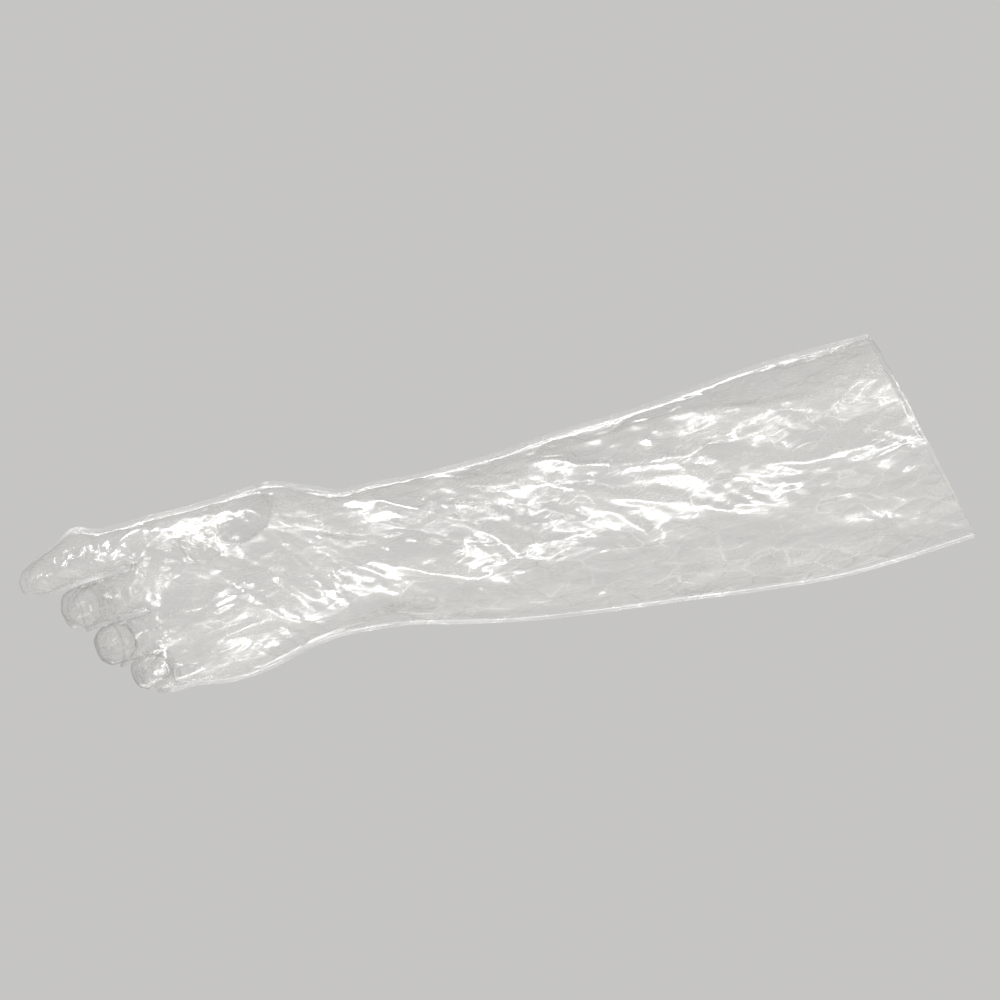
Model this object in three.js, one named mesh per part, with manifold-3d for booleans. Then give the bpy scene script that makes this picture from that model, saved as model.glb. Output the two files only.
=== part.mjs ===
// A long polyethylene glove in its worn form: two sheets of clear film, welded together round the
// outline. Millimetres. X runs along the sleeve towards the cuff, Z up to the thumb's side, and -Y is the
// back of the hand. The origin is the middle of the open cuff.
import * as THREE from "three";
import { mergeVertices } from "three/addons/utils/BufferGeometryUtils.js";
import Module from "manifold-3d";

const wasm = await Module();
wasm.setup();
const { Manifold, Mesh } = wasm;

// Sleeve
const SLEEVE_LENGTH = 270;     // cuff to wrist
const SLEEVE_HEIGHT = 113;     // upper weld to lower weld at the cuff
const SLEEVE_DEPTH = 80;       // back to palm side at the cuff
const CUFF_SLANT = 25.5;       // how far the cuff's lower corner stands beyond its upper one
const SLANT_FADES_BY = 108;    // from the cuff, where a section stands straight across the sleeve

// Hand
const HAND_LENGTH = 142;       // wrist to the roots of the fingers
const HAND_HEIGHT = 88;        // upper weld to lower weld across the knuckles
const HAND_DEPTH = 39;         // thickness across the middle of the palm
const HAND_RISE = 23;          // the hand's middle above the cuff's middle

// Fingers, each from its root at the crotch to its tip, and their thickness
const INDEX_LENGTH = 75;
const MIDDLE_LENGTH = 78;
const RING_LENGTH = 74;
const LITTLE_LENGTH = 56;
const FINGER_DEPTH = 20;
const THUMB_WIDTH = 25;
const THUMB_DEPTH = 22;
const THUMB_REACH = 43;        // how far the thumb's tip lies past the palm side

// Film and weld
const FILM_WALL = 1;           // the film's solid stands in for a far thinner sheet
const ROOM_ACROSS = 4;         // walls' widths a section needs to hold a hollow
const ROOM_DEEP = 2;           // and in half its depth
const HOLLOW_PAST_CUFF = 8;
const HOLLOW_END_WALL = 3;     // between the palm's hollow and the end of the palm's part
const WELD_WIDTH = 2.2;        // flat margin outside the weld line
const CROTCH_WELD_WIDTH = 1.2; // the same margin between two fingers
const CROTCH_WELD_LENGTH = 2.6; // and across the bottom of a crotch
const WELD_THICKNESS = 1.2;
const PIECE_GAP = 0.3;         // left between two pieces that touch on the real glove
const SEAM_OFFSET = 0.32;      // of the palm sheet's edge from the seam plane, a little over that gap

// Fineness of the mesh
const ALONG_STEP = 9;          // between two sections of the sleeve
const SLEEVE_SIDES = 12;       // round each half of the sleeve
const FINGER_SIDES = 6;        // round each half of a finger
const WELD_TIP_ROWS = [{ ahead: 0.7, width: 0.7 }, { ahead: 1, width: 0 }];
const FINGER_STEPS = 5;        // along a finger from the crotch to its rounded tip
const TIP_ANGLES = [0.5, 0.95, 1.25];
const HULL_SAMPLES = 60;
const SHARPEST_CORNER = 0.45;  // sine of half the corner's angle, at which an offset stops growing
const MERGE_DISTANCE = 1e-4;
const NO_TURN = 1e-9;          // below which three points stand in one line
const SAME_POINT = 1e-6;
const MESH_TOLERANCE = 0.1;    // within which vertices on a nearly flat face are left out
const BEND_STEP = 0.5;         // along the middle line of a bent finger

// Shares that shape a finger
const FINGER_ROOT_INSIDE = 0.2; // of the hand's length, where a finger starts inside the palm
const ROOT_FULLNESS = 0.9;      // of its depth, there
const THUMB_ROOT_WIDTH = 0.6;   // of the thumb's width, inside the palm
const THUMB_ROOT_DEPTH = 0.62;  // of its depth, there
const THUMB_WIDENS_BY = 0.33;   // of its length, where it has its whole width
const THUMB_DEEPENS = [0.28, 0.62]; // of its length, between which it takes its whole depth
const TIP_FULLNESS = 0.2;       // of its depth, at the least, in the rounded tip
const OVAL_SHARE = 0.97;        // of its width that the filled oval takes
const FINGER_ROUND = 2.2;       // exponent of its oval, 2 for an ellipse
const SLEEVE_ROUND = 2;
const KNUCKLE_ROUND = 2.5;

// Sections of the sleeve. along is a share of SLEEVE_LENGTH; top and bottom are the weld lines and
// fullTop and fullBottom the ends of the filled oval, shares of SLEEVE_HEIGHT; depth is a share of
// SLEEVE_DEPTH.
const SLEEVE_SECTIONS = [
  { along: 0.00, top: 0.500, bottom: -0.500, fullTop: 0.500, fullBottom: -0.288, depth: 1.00 },
  { along: 0.22, top: 0.503, bottom: -0.515, fullTop: 0.503, fullBottom: -0.265, depth: 0.99 },
  { along: 0.37, top: 0.485, bottom: -0.477, fullTop: 0.485, fullBottom: -0.311, depth: 0.97 },
  { along: 0.52, top: 0.458, bottom: -0.425, fullTop: 0.458, fullBottom: -0.284, depth: 0.91 },
  { along: 0.67, top: 0.452, bottom: -0.377, fullTop: 0.440, fullBottom: -0.279, depth: 0.82 },
  { along: 0.82, top: 0.431, bottom: -0.320, fullTop: 0.430, fullBottom: -0.227, depth: 0.71 },
  { along: 0.96, top: 0.436, bottom: -0.244, fullTop: 0.433, fullBottom: -0.209, depth: 0.62 },
];

// Sections of the hand, past the wrist. along is a share of HAND_LENGTH; the heights are shares of
// HAND_HEIGHT from the hand's middle; depth and curl, the bend towards the palm, are shares of HAND_DEPTH.
const HAND_SECTIONS = [
  { along: 0.07, top: 0.322, bottom: -0.511, fullTop: 0.305, fullBottom: -0.487, depth: 1.12, curl: 0.00 },
  { along: 0.21, top: 0.336, bottom: -0.478, fullTop: 0.318, fullBottom: -0.446, depth: 1.07, curl: 0.00 },
  { along: 0.35, top: 0.427, bottom: -0.461, fullTop: 0.395, fullBottom: -0.445, depth: 1.03, curl: 0.00 },
  { along: 0.49, top: 0.487, bottom: -0.486, fullTop: 0.455, fullBottom: -0.480, depth: 1.00, curl: 0.00 },
  { along: 0.63, top: 0.484, bottom: -0.535, fullTop: 0.475, fullBottom: -0.521, depth: 0.93, curl: 0.00 },
  { along: 0.77, top: 0.479, bottom: -0.546, fullTop: 0.478, fullBottom: -0.525, depth: 0.83, curl: 0.02 },
  { along: 0.90, top: 0.487, bottom: -0.510, fullTop: 0.486, fullBottom: -0.500, depth: 0.66, curl: 0.08 },
  { along: 1.00, top: 0.488, bottom: -0.500, fullTop: 0.486, fullBottom: -0.490, depth: 0.50, curl: 0.17 },
];

// Fingers. root is the middle of the finger at its crotch and tip where it points, from the hand's middle,
// and width the film's width: shares of HAND_HEIGHT. bendFrom and bendTo turn it to the palm, in degrees.
const FINGERS = [
  { name: "index", length: INDEX_LENGTH, root: 0.372, tip: 0.335, width: 0.228, bendFrom: 11, bendTo: 64 },
  { name: "middle", length: MIDDLE_LENGTH, root: 0.105, tip: 0.088, width: 0.245, bendFrom: 28, bendTo: 93 },
  { name: "ring", length: RING_LENGTH, root: -0.168, tip: -0.168, width: 0.24, bendFrom: 36, bendTo: 110 },
  { name: "little", length: LITTLE_LENGTH, root: -0.412, tip: -0.34, width: 0.2, bendFrom: 56, bendTo: 122 },
];

// The index finger's film stands off the fingertip in a slanted corner. along is a share of the finger's
// length past the crotch; up and down are shares of half the finger's width.
const INDEX_CORNER = [
  { along: 0.00, up: 1.00, down: 1.00 },
  { along: 0.22, up: 1.15, down: 1.00 },
  { along: 0.38, up: 1.62, down: 0.95 },
  { along: 0.55, up: 1.20, down: 0.95 },
  { along: 0.80, up: 0.80, down: 0.95 },
  { along: 1.00, up: 0.45, down: 0.80 },
];

// The thumb's middle line, folded behind the palm: along is a share of HAND_LENGTH from the wrist, up a
// share of HAND_HEIGHT from the hand's middle, out a share of THUMB_REACH.
const THUMB_LINE = [
  { along: 0.18, up: 0.08, out: 0.08 },
  { along: 0.32, up: 0.22, out: 0.07 },
  { along: 0.46, up: 0.35, out: 0.01 },
  { along: 0.62, up: 0.34, out: 0.50 },
  { along: 0.82, up: 0.27, out: 1.00 },
];

// Main folds of the film. from and to are places on the glove: along is a share of the whole way from the
// cuff to the finger roots, up a share of the way from the lower weld to the upper one. height and width
// are millimetres.
const FOLDS = [
  { side: "back", fromAlong: 0.88, fromUp: 0.93, toAlong: 0.74, toUp: 0.60, height: 3.9, width: 14 },
  { side: "back", fromAlong: 0.80, fromUp: 0.64, toAlong: 0.52, toUp: 0.22, height: 3.9, width: 15 },
  { side: "back", fromAlong: 0.73, fromUp: 0.90, toAlong: 0.53, toUp: 0.50, height: 3.4, width: 15 },
  { side: "back", fromAlong: 0.94, fromUp: 0.84, toAlong: 0.85, toUp: 0.34, height: -2.6, width: 15 },
  { side: "back", fromAlong: 0.94, fromUp: 0.38, toAlong: 0.81, toUp: 0.12, height: 3.1, width: 14 },
  { side: "back", fromAlong: 0.76, fromUp: 0.08, toAlong: 0.87, toUp: 0.64, height: 2.9, width: 13 },
  { side: "back", fromAlong: 0.53, fromUp: 0.83, toAlong: 0.30, toUp: 0.42, height: 3.6, width: 15 },
  { side: "back", fromAlong: 0.47, fromUp: 0.64, toAlong: 0.34, toUp: 0.22, height: 3.1, width: 15 },
  { side: "back", fromAlong: 0.32, fromUp: 0.48, toAlong: 0.06, toUp: 0.15, height: 3.4, width: 15 },
  { side: "back", fromAlong: 0.36, fromUp: 0.88, toAlong: 0.16, toUp: 0.58, height: 2.9, width: 15 },
  { side: "palm", fromAlong: 0.90, fromUp: 0.30, toAlong: 0.70, toUp: 0.55, height: 3.4, width: 15 },
  { side: "palm", fromAlong: 0.84, fromUp: 0.12, toAlong: 0.62, toUp: 0.34, height: 3.4, width: 15 },
  { side: "palm", fromAlong: 0.72, fromUp: 0.86, toAlong: 0.50, toUp: 0.44, height: 3.6, width: 15 },
  { side: "palm", fromAlong: 0.58, fromUp: 0.20, toAlong: 0.36, toUp: 0.62, height: 3.1, width: 15 },
  { side: "palm", fromAlong: 0.44, fromUp: 0.84, toAlong: 0.20, toUp: 0.44, height: 3.6, width: 15 },
  { side: "palm", fromAlong: 0.30, fromUp: 0.20, toAlong: 0.06, toUp: 0.52, height: 3.1, width: 15 },
];

const FOLD_END = 0.7;          // how soon a fold rises from its ends, below 1 for sooner
const GLOVE_LENGTH = SLEEVE_LENGTH + HAND_LENGTH;
const BACK = 1;
const PALM = -1;
const lerp = THREE.MathUtils.lerp;

// Reads one column of a table at any place along it, on a smooth curve through its rows
function readColumn(rows, column, along) {
  let i = 0;
  while (i < rows.length - 2 && rows[i + 1].along < along) i += 1;
  const before = rows[Math.max(i - 1, 0)];
  const [a, b] = [rows[i], rows[i + 1]];
  const after = rows[Math.min(i + 2, rows.length - 1)];
  const share = THREE.MathUtils.clamp((along - a.along) / (b.along - a.along), 0, 1);
  const span = b.along - a.along;
  const slopeA = (b[column] - before[column]) / (b.along - before.along) * span;
  const slopeB = (after[column] - a[column]) / (after.along - a.along) * span;
  const s2 = share * share;
  const s3 = s2 * share;
  return a[column] * (2 * s3 - 3 * s2 + 1) + slopeA * (s3 - 2 * s2 + share)
    + b[column] * (3 * s2 - 2 * s3) + slopeB * (s3 - s2);
}

// The sleeve's and the hand's tables as one table in millimetres
const BODY_ROWS = [
  ...SLEEVE_SECTIONS.map((row) => ({
    along: row.along * SLEEVE_LENGTH,
    top: row.top * SLEEVE_HEIGHT,
    bottom: row.bottom * SLEEVE_HEIGHT,
    fullTop: row.fullTop * SLEEVE_HEIGHT,
    fullBottom: row.fullBottom * SLEEVE_HEIGHT,
    halfDepth: row.depth * SLEEVE_DEPTH / 2,
    curl: 0,
  })),
  ...HAND_SECTIONS.map((row) => ({
    along: SLEEVE_LENGTH + row.along * HAND_LENGTH,
    top: HAND_RISE + row.top * HAND_HEIGHT,
    bottom: HAND_RISE + row.bottom * HAND_HEIGHT,
    fullTop: HAND_RISE + row.fullTop * HAND_HEIGHT,
    fullBottom: HAND_RISE + row.fullBottom * HAND_HEIGHT,
    halfDepth: row.depth * HAND_DEPTH / 2,
    curl: row.curl * HAND_DEPTH,
  })),
];

// A section holds its frame and its sizes: sideways runs from the lower weld to the upper one, outwards to
// the back of the hand. Its heights are measured along sideways from the centre.
function bodySection(along) {
  const read = (column) => readColumn(BODY_ROWS, column, along);
  const slant = CUFF_SLANT / SLEEVE_HEIGHT * Math.max(0, 1 - along / SLANT_FADES_BY);
  const pastWrist = THREE.MathUtils.smoothstep(along, SLEEVE_LENGTH, GLOVE_LENGTH);
  const squareness = lerp(SLEEVE_ROUND, KNUCKLE_ROUND, pastWrist);
  return {
    along,
    centre: new THREE.Vector3(-along, read("curl"), 0),
    sideways: new THREE.Vector3(-slant, 0, 1),
    outwards: new THREE.Vector3(0, -1, 0),
    top: read("top"),
    bottom: read("bottom"),
    fullTop: Math.min(read("fullTop"), read("top")),
    fullBottom: Math.max(read("fullBottom"), read("bottom")),
    halfDepth: read("halfDepth"),
    squareness,
  };
}

// How far the folds lift the film at a place on the sleeve or the hand
function foldHeight(section, up, side) {
  let lift = 0;
  const place = new THREE.Vector2(section.along, section.bottom + up * (section.top - section.bottom));
  for (const fold of FOLDS) {
    if ((fold.side === "back" ? BACK : PALM) !== side) continue;
    const [from, to] = [[fold.fromAlong, fold.fromUp], [fold.toAlong, fold.toUp]].map(([a, u]) => {
      const along = a * GLOVE_LENGTH;
      const top = readColumn(BODY_ROWS, "top", along);
      const bottom = readColumn(BODY_ROWS, "bottom", along);
      return new THREE.Vector2(along, lerp(bottom, top, u));
    });
    const line = to.clone().sub(from);
    const share = place.clone().sub(from).dot(line) / line.lengthSq();
    if (share <= 0 || share >= 1) continue;
    const away = place.distanceTo(from.clone().addScaledVector(line, share));
    const across = Math.max(0, 1 - (away / fold.width) ** 2) ** 2;
    lift += fold.height * across * Math.sin(Math.PI * share) ** FOLD_END;
  }
  return lift;
}

// Half of a section's outline, from its upper weld round one side to its lower weld, as pairs of sideways
// and outwards: an oval with the film pulled straight from it to each weld
function halfOutline(section, sides) {
  const { top, bottom, fullTop, fullBottom, halfDepth, squareness } = section;
  const middle = (fullTop + fullBottom) / 2;
  const halfHeight = (fullTop - fullBottom) / 2;
  const points = [new THREE.Vector2(top, 0)];
  for (let i = 0; i <= HULL_SAMPLES; i += 1) {
    const angle = Math.PI * i / HULL_SAMPLES;
    const [up, out] = [Math.cos(angle), Math.sin(angle)];
    points.push(new THREE.Vector2(
      middle + halfHeight * Math.sign(up) * Math.abs(up) ** (2 / squareness),
      halfDepth * out ** (2 / squareness),
    ));
  }
  points.push(new THREE.Vector2(bottom, 0));
  const hull = [];
  for (const point of points) {
    while (hull.length > 1) {
      const [a, b] = hull.slice(-2);
      if ((b.x - a.x) * (point.y - a.y) - (b.y - a.y) * (point.x - a.x) > NO_TURN) break;
      hull.pop();
    }
    if (hull.length === 0 || hull[hull.length - 1].distanceTo(point) > SAME_POINT) hull.push(point);
  }
  return evenPoints(hull, sides);
}

// The same line with its points an even step apart
function evenPoints(line, sides) {
  const lengths = [0];
  for (let i = 1; i < line.length; i += 1) lengths.push(lengths[i - 1] + line[i].distanceTo(line[i - 1]));
  const total = lengths[lengths.length - 1];
  const result = [];
  let at = 0;
  for (let i = 0; i <= sides; i += 1) {
    const wanted = total * i / sides;
    while (at < line.length - 2 && lengths[at + 1] < wanted) at += 1;
    const share = (wanted - lengths[at]) / (lengths[at + 1] - lengths[at]);
    result.push(line[at].clone().lerp(line[at + 1], THREE.MathUtils.clamp(share, 0, 1)));
  }
  return result;
}

// Moves half an outline inwards by inset, or outwards where inset is negative, and lifts it by the folds
function movedOutline(section, sides, side, inset, seam = 0) {
  const outline = halfOutline(section, sides);
  const mirror = (point) => new THREE.Vector2(point.x, -point.y);
  return outline.map((point, i) => {
    const before = i === 0 ? mirror(outline[1]) : outline[i - 1];
    const after = i === outline.length - 1 ? mirror(outline[i - 1]) : outline[i + 1];
    const [a, b] = [point.clone().sub(before).normalize(), after.clone().sub(point).normalize()];
    const normal = new THREE.Vector2(-(a.y + b.y), a.x + b.x).normalize().negate();
    const corner = Math.max(SHARPEST_CORNER, Math.abs(normal.x * -a.y + normal.y * a.x));
    const atWeld = i === 0 || i === outline.length - 1;
    const up = (point.x - section.bottom) / (section.top - section.bottom);
    const lift = section.folded && !atWeld ? foldHeight(section, up, side) : 0;
    const moved = point.clone().addScaledVector(normal, lift - inset / corner);
    if (atWeld) moved.y = seam;
    return moved;
  });
}

function place(section, point, side) {
  return section.centre.clone()
    .addScaledVector(section.sideways, point.x)
    .addScaledVector(section.outwards, point.y * side);
}

// Rings of one half of a part, closed by a flat face that lies open past the weld line
function halfRings(sections, sides, side, inset, past) {
  const seam = side === PALM ? SEAM_OFFSET : 0;
  return sections.map((section) => {
    const outline = movedOutline(section, sides, side, inset, seam);
    const ring = outline.map((point) => place(section, point, side));
    if (past > 0) {
      ring.push(ring[ring.length - 1].clone().addScaledVector(section.outwards, -past * side));
      ring.push(ring[0].clone().addScaledVector(section.outwards, -past * side));
    }
    return ring;
  });
}

function fullRings(sections, sides, inset) {
  return sections.map((section) => {
    const back = movedOutline(section, sides, BACK, inset).map((point) => place(section, point, BACK));
    const palm = movedOutline(section, sides, PALM, inset).map((point) => place(section, point, PALM));
    return [...back, ...palm.reverse().slice(1, -1)];
  });
}

// A flat ring in the seam from one height to another
function flatRing(section, high, low, thickness) {
  return [[high, 1], [high, -1], [low, -1], [low, 1]]
    .map(([x, y]) => place(section, new THREE.Vector2(x, y * thickness / 2), BACK));
}

// A closed solid from rings of points, with a fan on each end
function solidFromRings(rings) {
  const count = rings[0].length;
  const points = rings.flat();
  const triangles = [];
  for (let i = 0; i < rings.length - 1; i += 1) {
    for (let j = 0; j < count; j += 1) {
      const [a, b] = [i * count + j, i * count + (j + 1) % count];
      triangles.push(a, b, a + count, b, b + count, a + count);
    }
  }
  for (const [start, flip] of [[0, true], [(rings.length - 1) * count, false]]) {
    const middle = points.length;
    const ring = points.slice(start, start + count);
    points.push(ring.reduce((sum, point) => sum.add(point), new THREE.Vector3()).divideScalar(count));
    for (let j = 0; j < count; j += 1) {
      const [a, b] = [start + j, start + (j + 1) % count];
      triangles.push(...(flip ? [middle, b, a] : [middle, a, b]));
    }
  }
  const geometry = new THREE.BufferGeometry().setFromPoints(points);
  geometry.setIndex(triangles);
  return solidFromGeometry(geometry);
}

function solidFromGeometry(geometry) {
  const merged = mergeVertices(geometry, MERGE_DISTANCE);
  const mesh = new Mesh({
    numProp: 3,
    vertProperties: new Float32Array(merged.getAttribute("position").array),
    triVerts: new Uint32Array(merged.index.array),
  });
  const solid = new Manifold(mesh);
  if (solid.volume() > 0) return solid;
  for (let i = 0; i < mesh.triVerts.length; i += 3) {
    [mesh.triVerts[i], mesh.triVerts[i + 1]] = [mesh.triVerts[i + 1], mesh.triVerts[i]];
  }
  return new Manifold(mesh);
}

// Sections of the sleeve and the hand
function bodySections(from, to) {
  const steps = Math.round((to - from) / ALONG_STEP);
  return Array.from({ length: steps + 1 }, (_, i) => {
    const section = bodySection(lerp(from, to, i / steps));
    return { ...section, folded: true };
  });
}

// Sections along any middle line. The frame turns with the line without twisting round it
function lineSections(points, outwards, sizes) {
  let out = outwards.clone();
  return points.map((point, i) => {
    const [before, after] = [points[Math.max(i - 1, 0)], points[Math.min(i + 1, points.length - 1)]];
    const ahead = after.clone().sub(before).normalize();
    out = out.clone().addScaledVector(ahead, -out.dot(ahead)).normalize();
    const sideways = out.clone().cross(ahead);
    if (sideways.z < 0) sideways.negate();
    const frame = { centre: point.clone(), sideways, outwards: out.clone() };
    return { ...frame, squareness: FINGER_ROUND, ...sizes[i] };
  });
}

// Places along a finger, from straightFrom on: full is 1, then rounds off over its last stretch
function tipShares(straightFrom, length, radius) {
  const straight = length - radius;
  const shares = [];
  for (let i = 0; i <= FINGER_STEPS; i += 1) {
    shares.push({ at: lerp(straightFrom, straight, i / FINGER_STEPS), full: 1 });
  }
  for (const angle of TIP_ANGLES) {
    shares.push({ at: straight + radius * Math.sin(angle), full: Math.cos(angle) });
  }
  return shares;
}

// A finger's frame at any place: straight out of the palm, then bending more and more past the crotch
function fingerFrame(finger, at) {
  const share = THREE.MathUtils.clamp(at / finger.length, 0, 1);
  const z = HAND_RISE + HAND_HEIGHT * lerp(finger.root, finger.tip, share);
  const curl = readColumn(BODY_ROWS, "curl", GLOVE_LENGTH + Math.min(at, 0));
  const centre = new THREE.Vector3(-GLOVE_LENGTH - Math.min(at, 0), curl, z);
  const [start, end] = [finger.bendFrom, finger.bendTo].map(THREE.MathUtils.degToRad);
  const steps = Math.max(0, Math.round(at / BEND_STEP));
  let bend = 0;
  for (let i = 0; i < steps; i += 1) {
    bend = lerp(start, end, Math.min(1, (i + 0.5) * BEND_STEP / finger.length));
    centre.add(new THREE.Vector3(-Math.cos(bend), Math.sin(bend), 0).multiplyScalar(at / steps));
  }
  return {
    centre,
    sideways: new THREE.Vector3(0, 0, 1),
    outwards: new THREE.Vector3(-Math.sin(bend), -Math.cos(bend), 0),
  };
}

function fingerSections(finger) {
  const halfWidth = finger.width * HAND_HEIGHT / 2;
  const inside = FINGER_ROOT_INSIDE * HAND_LENGTH;
  const start = [{ at: -inside, full: 1 }, { at: -inside / 2, full: 1 }];
  const shares = [...start, ...tipShares(0, finger.length, halfWidth)];
  return shares.map(({ at, full }) => {
    const share = THREE.MathUtils.clamp(at / finger.length, 0, 1);
    const corner = finger.name === "index";
    const up = corner ? readColumn(INDEX_CORNER, "up", share) : 1;
    const down = corner ? readColumn(INDEX_CORNER, "down", share) : 1;
    const root = at < 0 ? ROOT_FULLNESS : 1;
    const [top, bottom] = [halfWidth * full * root * up, -halfWidth * full * root * down];
    const halfDepth = FINGER_DEPTH / 2 * Math.max(full, TIP_FULLNESS) * root;
    return { ...fingerFrame(finger, at), at, full, top, bottom, halfDepth, squareness: FINGER_ROUND,
      fullTop: top * OVAL_SHARE, fullBottom: bottom * OVAL_SHARE };
  });
}

function thumbSections() {
  const line = new THREE.CatmullRomCurve3(THUMB_LINE.map((row) => new THREE.Vector3(
    -SLEEVE_LENGTH - row.along * HAND_LENGTH,
    row.out * THUMB_REACH,
    HAND_RISE + row.up * HAND_HEIGHT,
  )));
  const length = line.getLength();
  const shares = tipShares(0, length, THUMB_WIDTH / 2);
  const points = shares.map(({ at }) => line.getPointAt(at / length));
  const sizes = shares.map(({ at, full }) => {
    const share = at / length;
    const width = lerp(THUMB_ROOT_WIDTH, 1, THREE.MathUtils.smoothstep(share, 0, THUMB_WIDENS_BY));
    const depth = lerp(THUMB_ROOT_DEPTH, 1, THREE.MathUtils.smoothstep(share, ...THUMB_DEEPENS));
    const half = THUMB_WIDTH / 2 * full * width;
    const halfDepth = THUMB_DEPTH / 2 * Math.max(full, TIP_FULLNESS) * depth;
    const [fullTop, fullBottom] = [half * OVAL_SHARE, -half * OVAL_SHARE];
    return { at, full, top: half, bottom: -half, fullTop, fullBottom, halfDepth };
  });
  return lineSections(points, new THREE.Vector3(0, -1, 0), sizes);
}

// The sections of a finger that leave room for a hollow inside the wall
function hollowOf(sections, wall) {
  const last = sections[sections.length - 1].at - wall;
  return sections.filter((section) => section.at <= last
    && section.top - section.bottom > ROOM_ACROSS * wall && section.halfDepth > ROOM_DEEP * wall);
}

const fingers = FINGERS.map((finger, i) => ({
  sections: fingerSections(finger),
  marginTop: i === 0 ? WELD_WIDTH : CROTCH_WELD_WIDTH,
  marginBottom: i === FINGERS.length - 1 ? WELD_WIDTH : CROTCH_WELD_WIDTH,
}));
const thumb = { sections: thumbSections(), marginTop: WELD_WIDTH, marginBottom: WELD_WIDTH };
const digits = [...fingers, thumb];
const body = bodySections(0, GLOVE_LENGTH);
const bodyPastCuff = bodySections(-HOLLOW_PAST_CUFF, GLOVE_LENGTH);
const bodyHollow = bodySections(-HOLLOW_PAST_CUFF, GLOVE_LENGTH - HOLLOW_END_WALL);

const union = (solids) => solids.reduce((sum, solid) => sum.add(solid));

function outerHalf(side, grow) {
  return union([
    solidFromRings(halfRings(body, SLEEVE_SIDES, side, -grow, grow)),
    ...digits.map((digit) => solidFromRings(halfRings(digit.sections, FINGER_SIDES, side, -grow, grow))),
  ]);
}

function hollow(inset) {
  return union([
    solidFromRings(fullRings(bodyHollow, SLEEVE_SIDES, inset)),
    ...digits.map(({ sections }) => {
      return solidFromRings(fullRings(hollowOf(sections, inset), FINGER_SIDES, inset));
    }),
  ]);
}

// The weld's strip past both edges of every part, and past each tip
function weldStrips() {
  const strip = (sections, margins) => solidFromRings(sections.map((section) => {
    const [above, below] = margins(section);
    return flatRing(section, section.top + above, section.bottom - below, WELD_THICKNESS);
  }));
  const solids = digits.map((digit) => {
    const [before, last] = digit.sections.slice(-2);
    const ahead = last.centre.clone().sub(before.centre).normalize();
    const tips = WELD_TIP_ROWS.map(({ ahead: share, width }) => ({
      ...last,
      centre: last.centre.clone().addScaledVector(ahead, WELD_WIDTH * share),
      top: last.top * width,
      bottom: last.bottom * width,
    }));
    return strip([...digit.sections, ...tips], (section) => [
      lerp(WELD_WIDTH, digit.marginTop, section.full),
      lerp(WELD_WIDTH, digit.marginBottom, section.full),
    ]);
  });
  solids.push(strip(body, () => [WELD_WIDTH, WELD_WIDTH]));
  for (let i = 0; i < FINGERS.length - 1; i += 1) solids.push(crotchPad(FINGERS[i], FINGERS[i + 1]));
  return union(solids);
}

// The weld across the bottom of the crotch between two fingers
function crotchPad(upper, lower) {
  const rings = [-CROTCH_WELD_LENGTH / 2, 0, CROTCH_WELD_LENGTH].map((at) => {
    const [high, low] = [fingerFrame(upper, at), fingerFrame(lower, at)];
    const highEdge = new THREE.Vector2(-upper.width * HAND_HEIGHT / 2, WELD_THICKNESS / 2);
    const lowEdge = new THREE.Vector2(lower.width * HAND_HEIGHT / 2, WELD_THICKNESS / 2);
    const upperPair = [place(high, highEdge, BACK), place(high, highEdge, PALM)];
    const lowerPair = [place(low, lowEdge, PALM), place(low, lowEdge, BACK)];
    return [...upperPair, ...lowerPair];
  });
  return solidFromRings(rings);
}

// The room inside the weld line that the strip leaves free
function weldRoom() {
  const room = (sections, sides) => solidFromRings(sections.map((section) => {
    const outline = movedOutline(section, sides, BACK, -SEAM_OFFSET);
    const [high, low] = [outline[0].x, outline[outline.length - 1].x];
    return flatRing(section, high, low, WELD_THICKNESS * 2);
  }));
  const fingerRooms = digits.map((digit) => room(digit.sections, FINGER_SIDES));
  return union([room(bodyPastCuff, SLEEVE_SIDES), ...fingerRooms]);
}

function outerWhole(grow) {
  return union([
    solidFromRings(fullRings(body, SLEEVE_SIDES, -grow)),
    ...digits.map((digit) => solidFromRings(fullRings(digit.sections, FINGER_SIDES, -grow))),
  ]);
}

const inside = hollow(FILM_WALL);
const backRoom = outerHalf(BACK, PIECE_GAP).subtract(hollow(FILM_WALL + PIECE_GAP));
const pieces = {
  back_sheet: outerHalf(BACK, 0).subtract(inside),
  palm_sheet: outerHalf(PALM, 0).subtract(inside).subtract(backRoom),
  edge_weld: weldStrips().subtract(weldRoom()).subtract(outerWhole(PIECE_GAP)),
};

// Clear film, and the weld a little whiter where the two sheets have melted together
const finishes = {
  back_sheet: new THREE.MeshStandardMaterial({ color: 0xe9e8e2, roughness: 0.25, metalness: 0 }),
  palm_sheet: new THREE.MeshStandardMaterial({ color: 0xe9e8e2, roughness: 0.25, metalness: 0 }),
  edge_weld: new THREE.MeshStandardMaterial({ color: 0xf2f1ec, roughness: 0.35, metalness: 0 }),
};

// A cut leaves loose slivers thinner than the wall: the piece is the largest body
function geometryOf(solid) {
  const bodies = solid.decompose().sort((a, b) => b.volume() - a.volume());
  const mesh = bodies[0].simplify(MESH_TOLERANCE).getMesh();
  const positions = new Float32Array(mesh.numVert * 3);
  for (let i = 0; i < mesh.numVert; i += 1) {
    for (let k = 0; k < 3; k += 1) positions[i * 3 + k] = mesh.vertProperties[i * mesh.numProp + k];
  }
  const geometry = new THREE.BufferGeometry();
  geometry.setAttribute("position", new THREE.BufferAttribute(positions, 3));
  geometry.setIndex(Array.from(mesh.triVerts));
  return geometry;
}

const glove = new THREE.Group();
for (const [name, solid] of Object.entries(pieces)) {
  const piece = new THREE.Mesh(geometryOf(solid), finishes[name]);
  piece.name = name;
  glove.add(piece);
}
export default glove;
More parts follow.
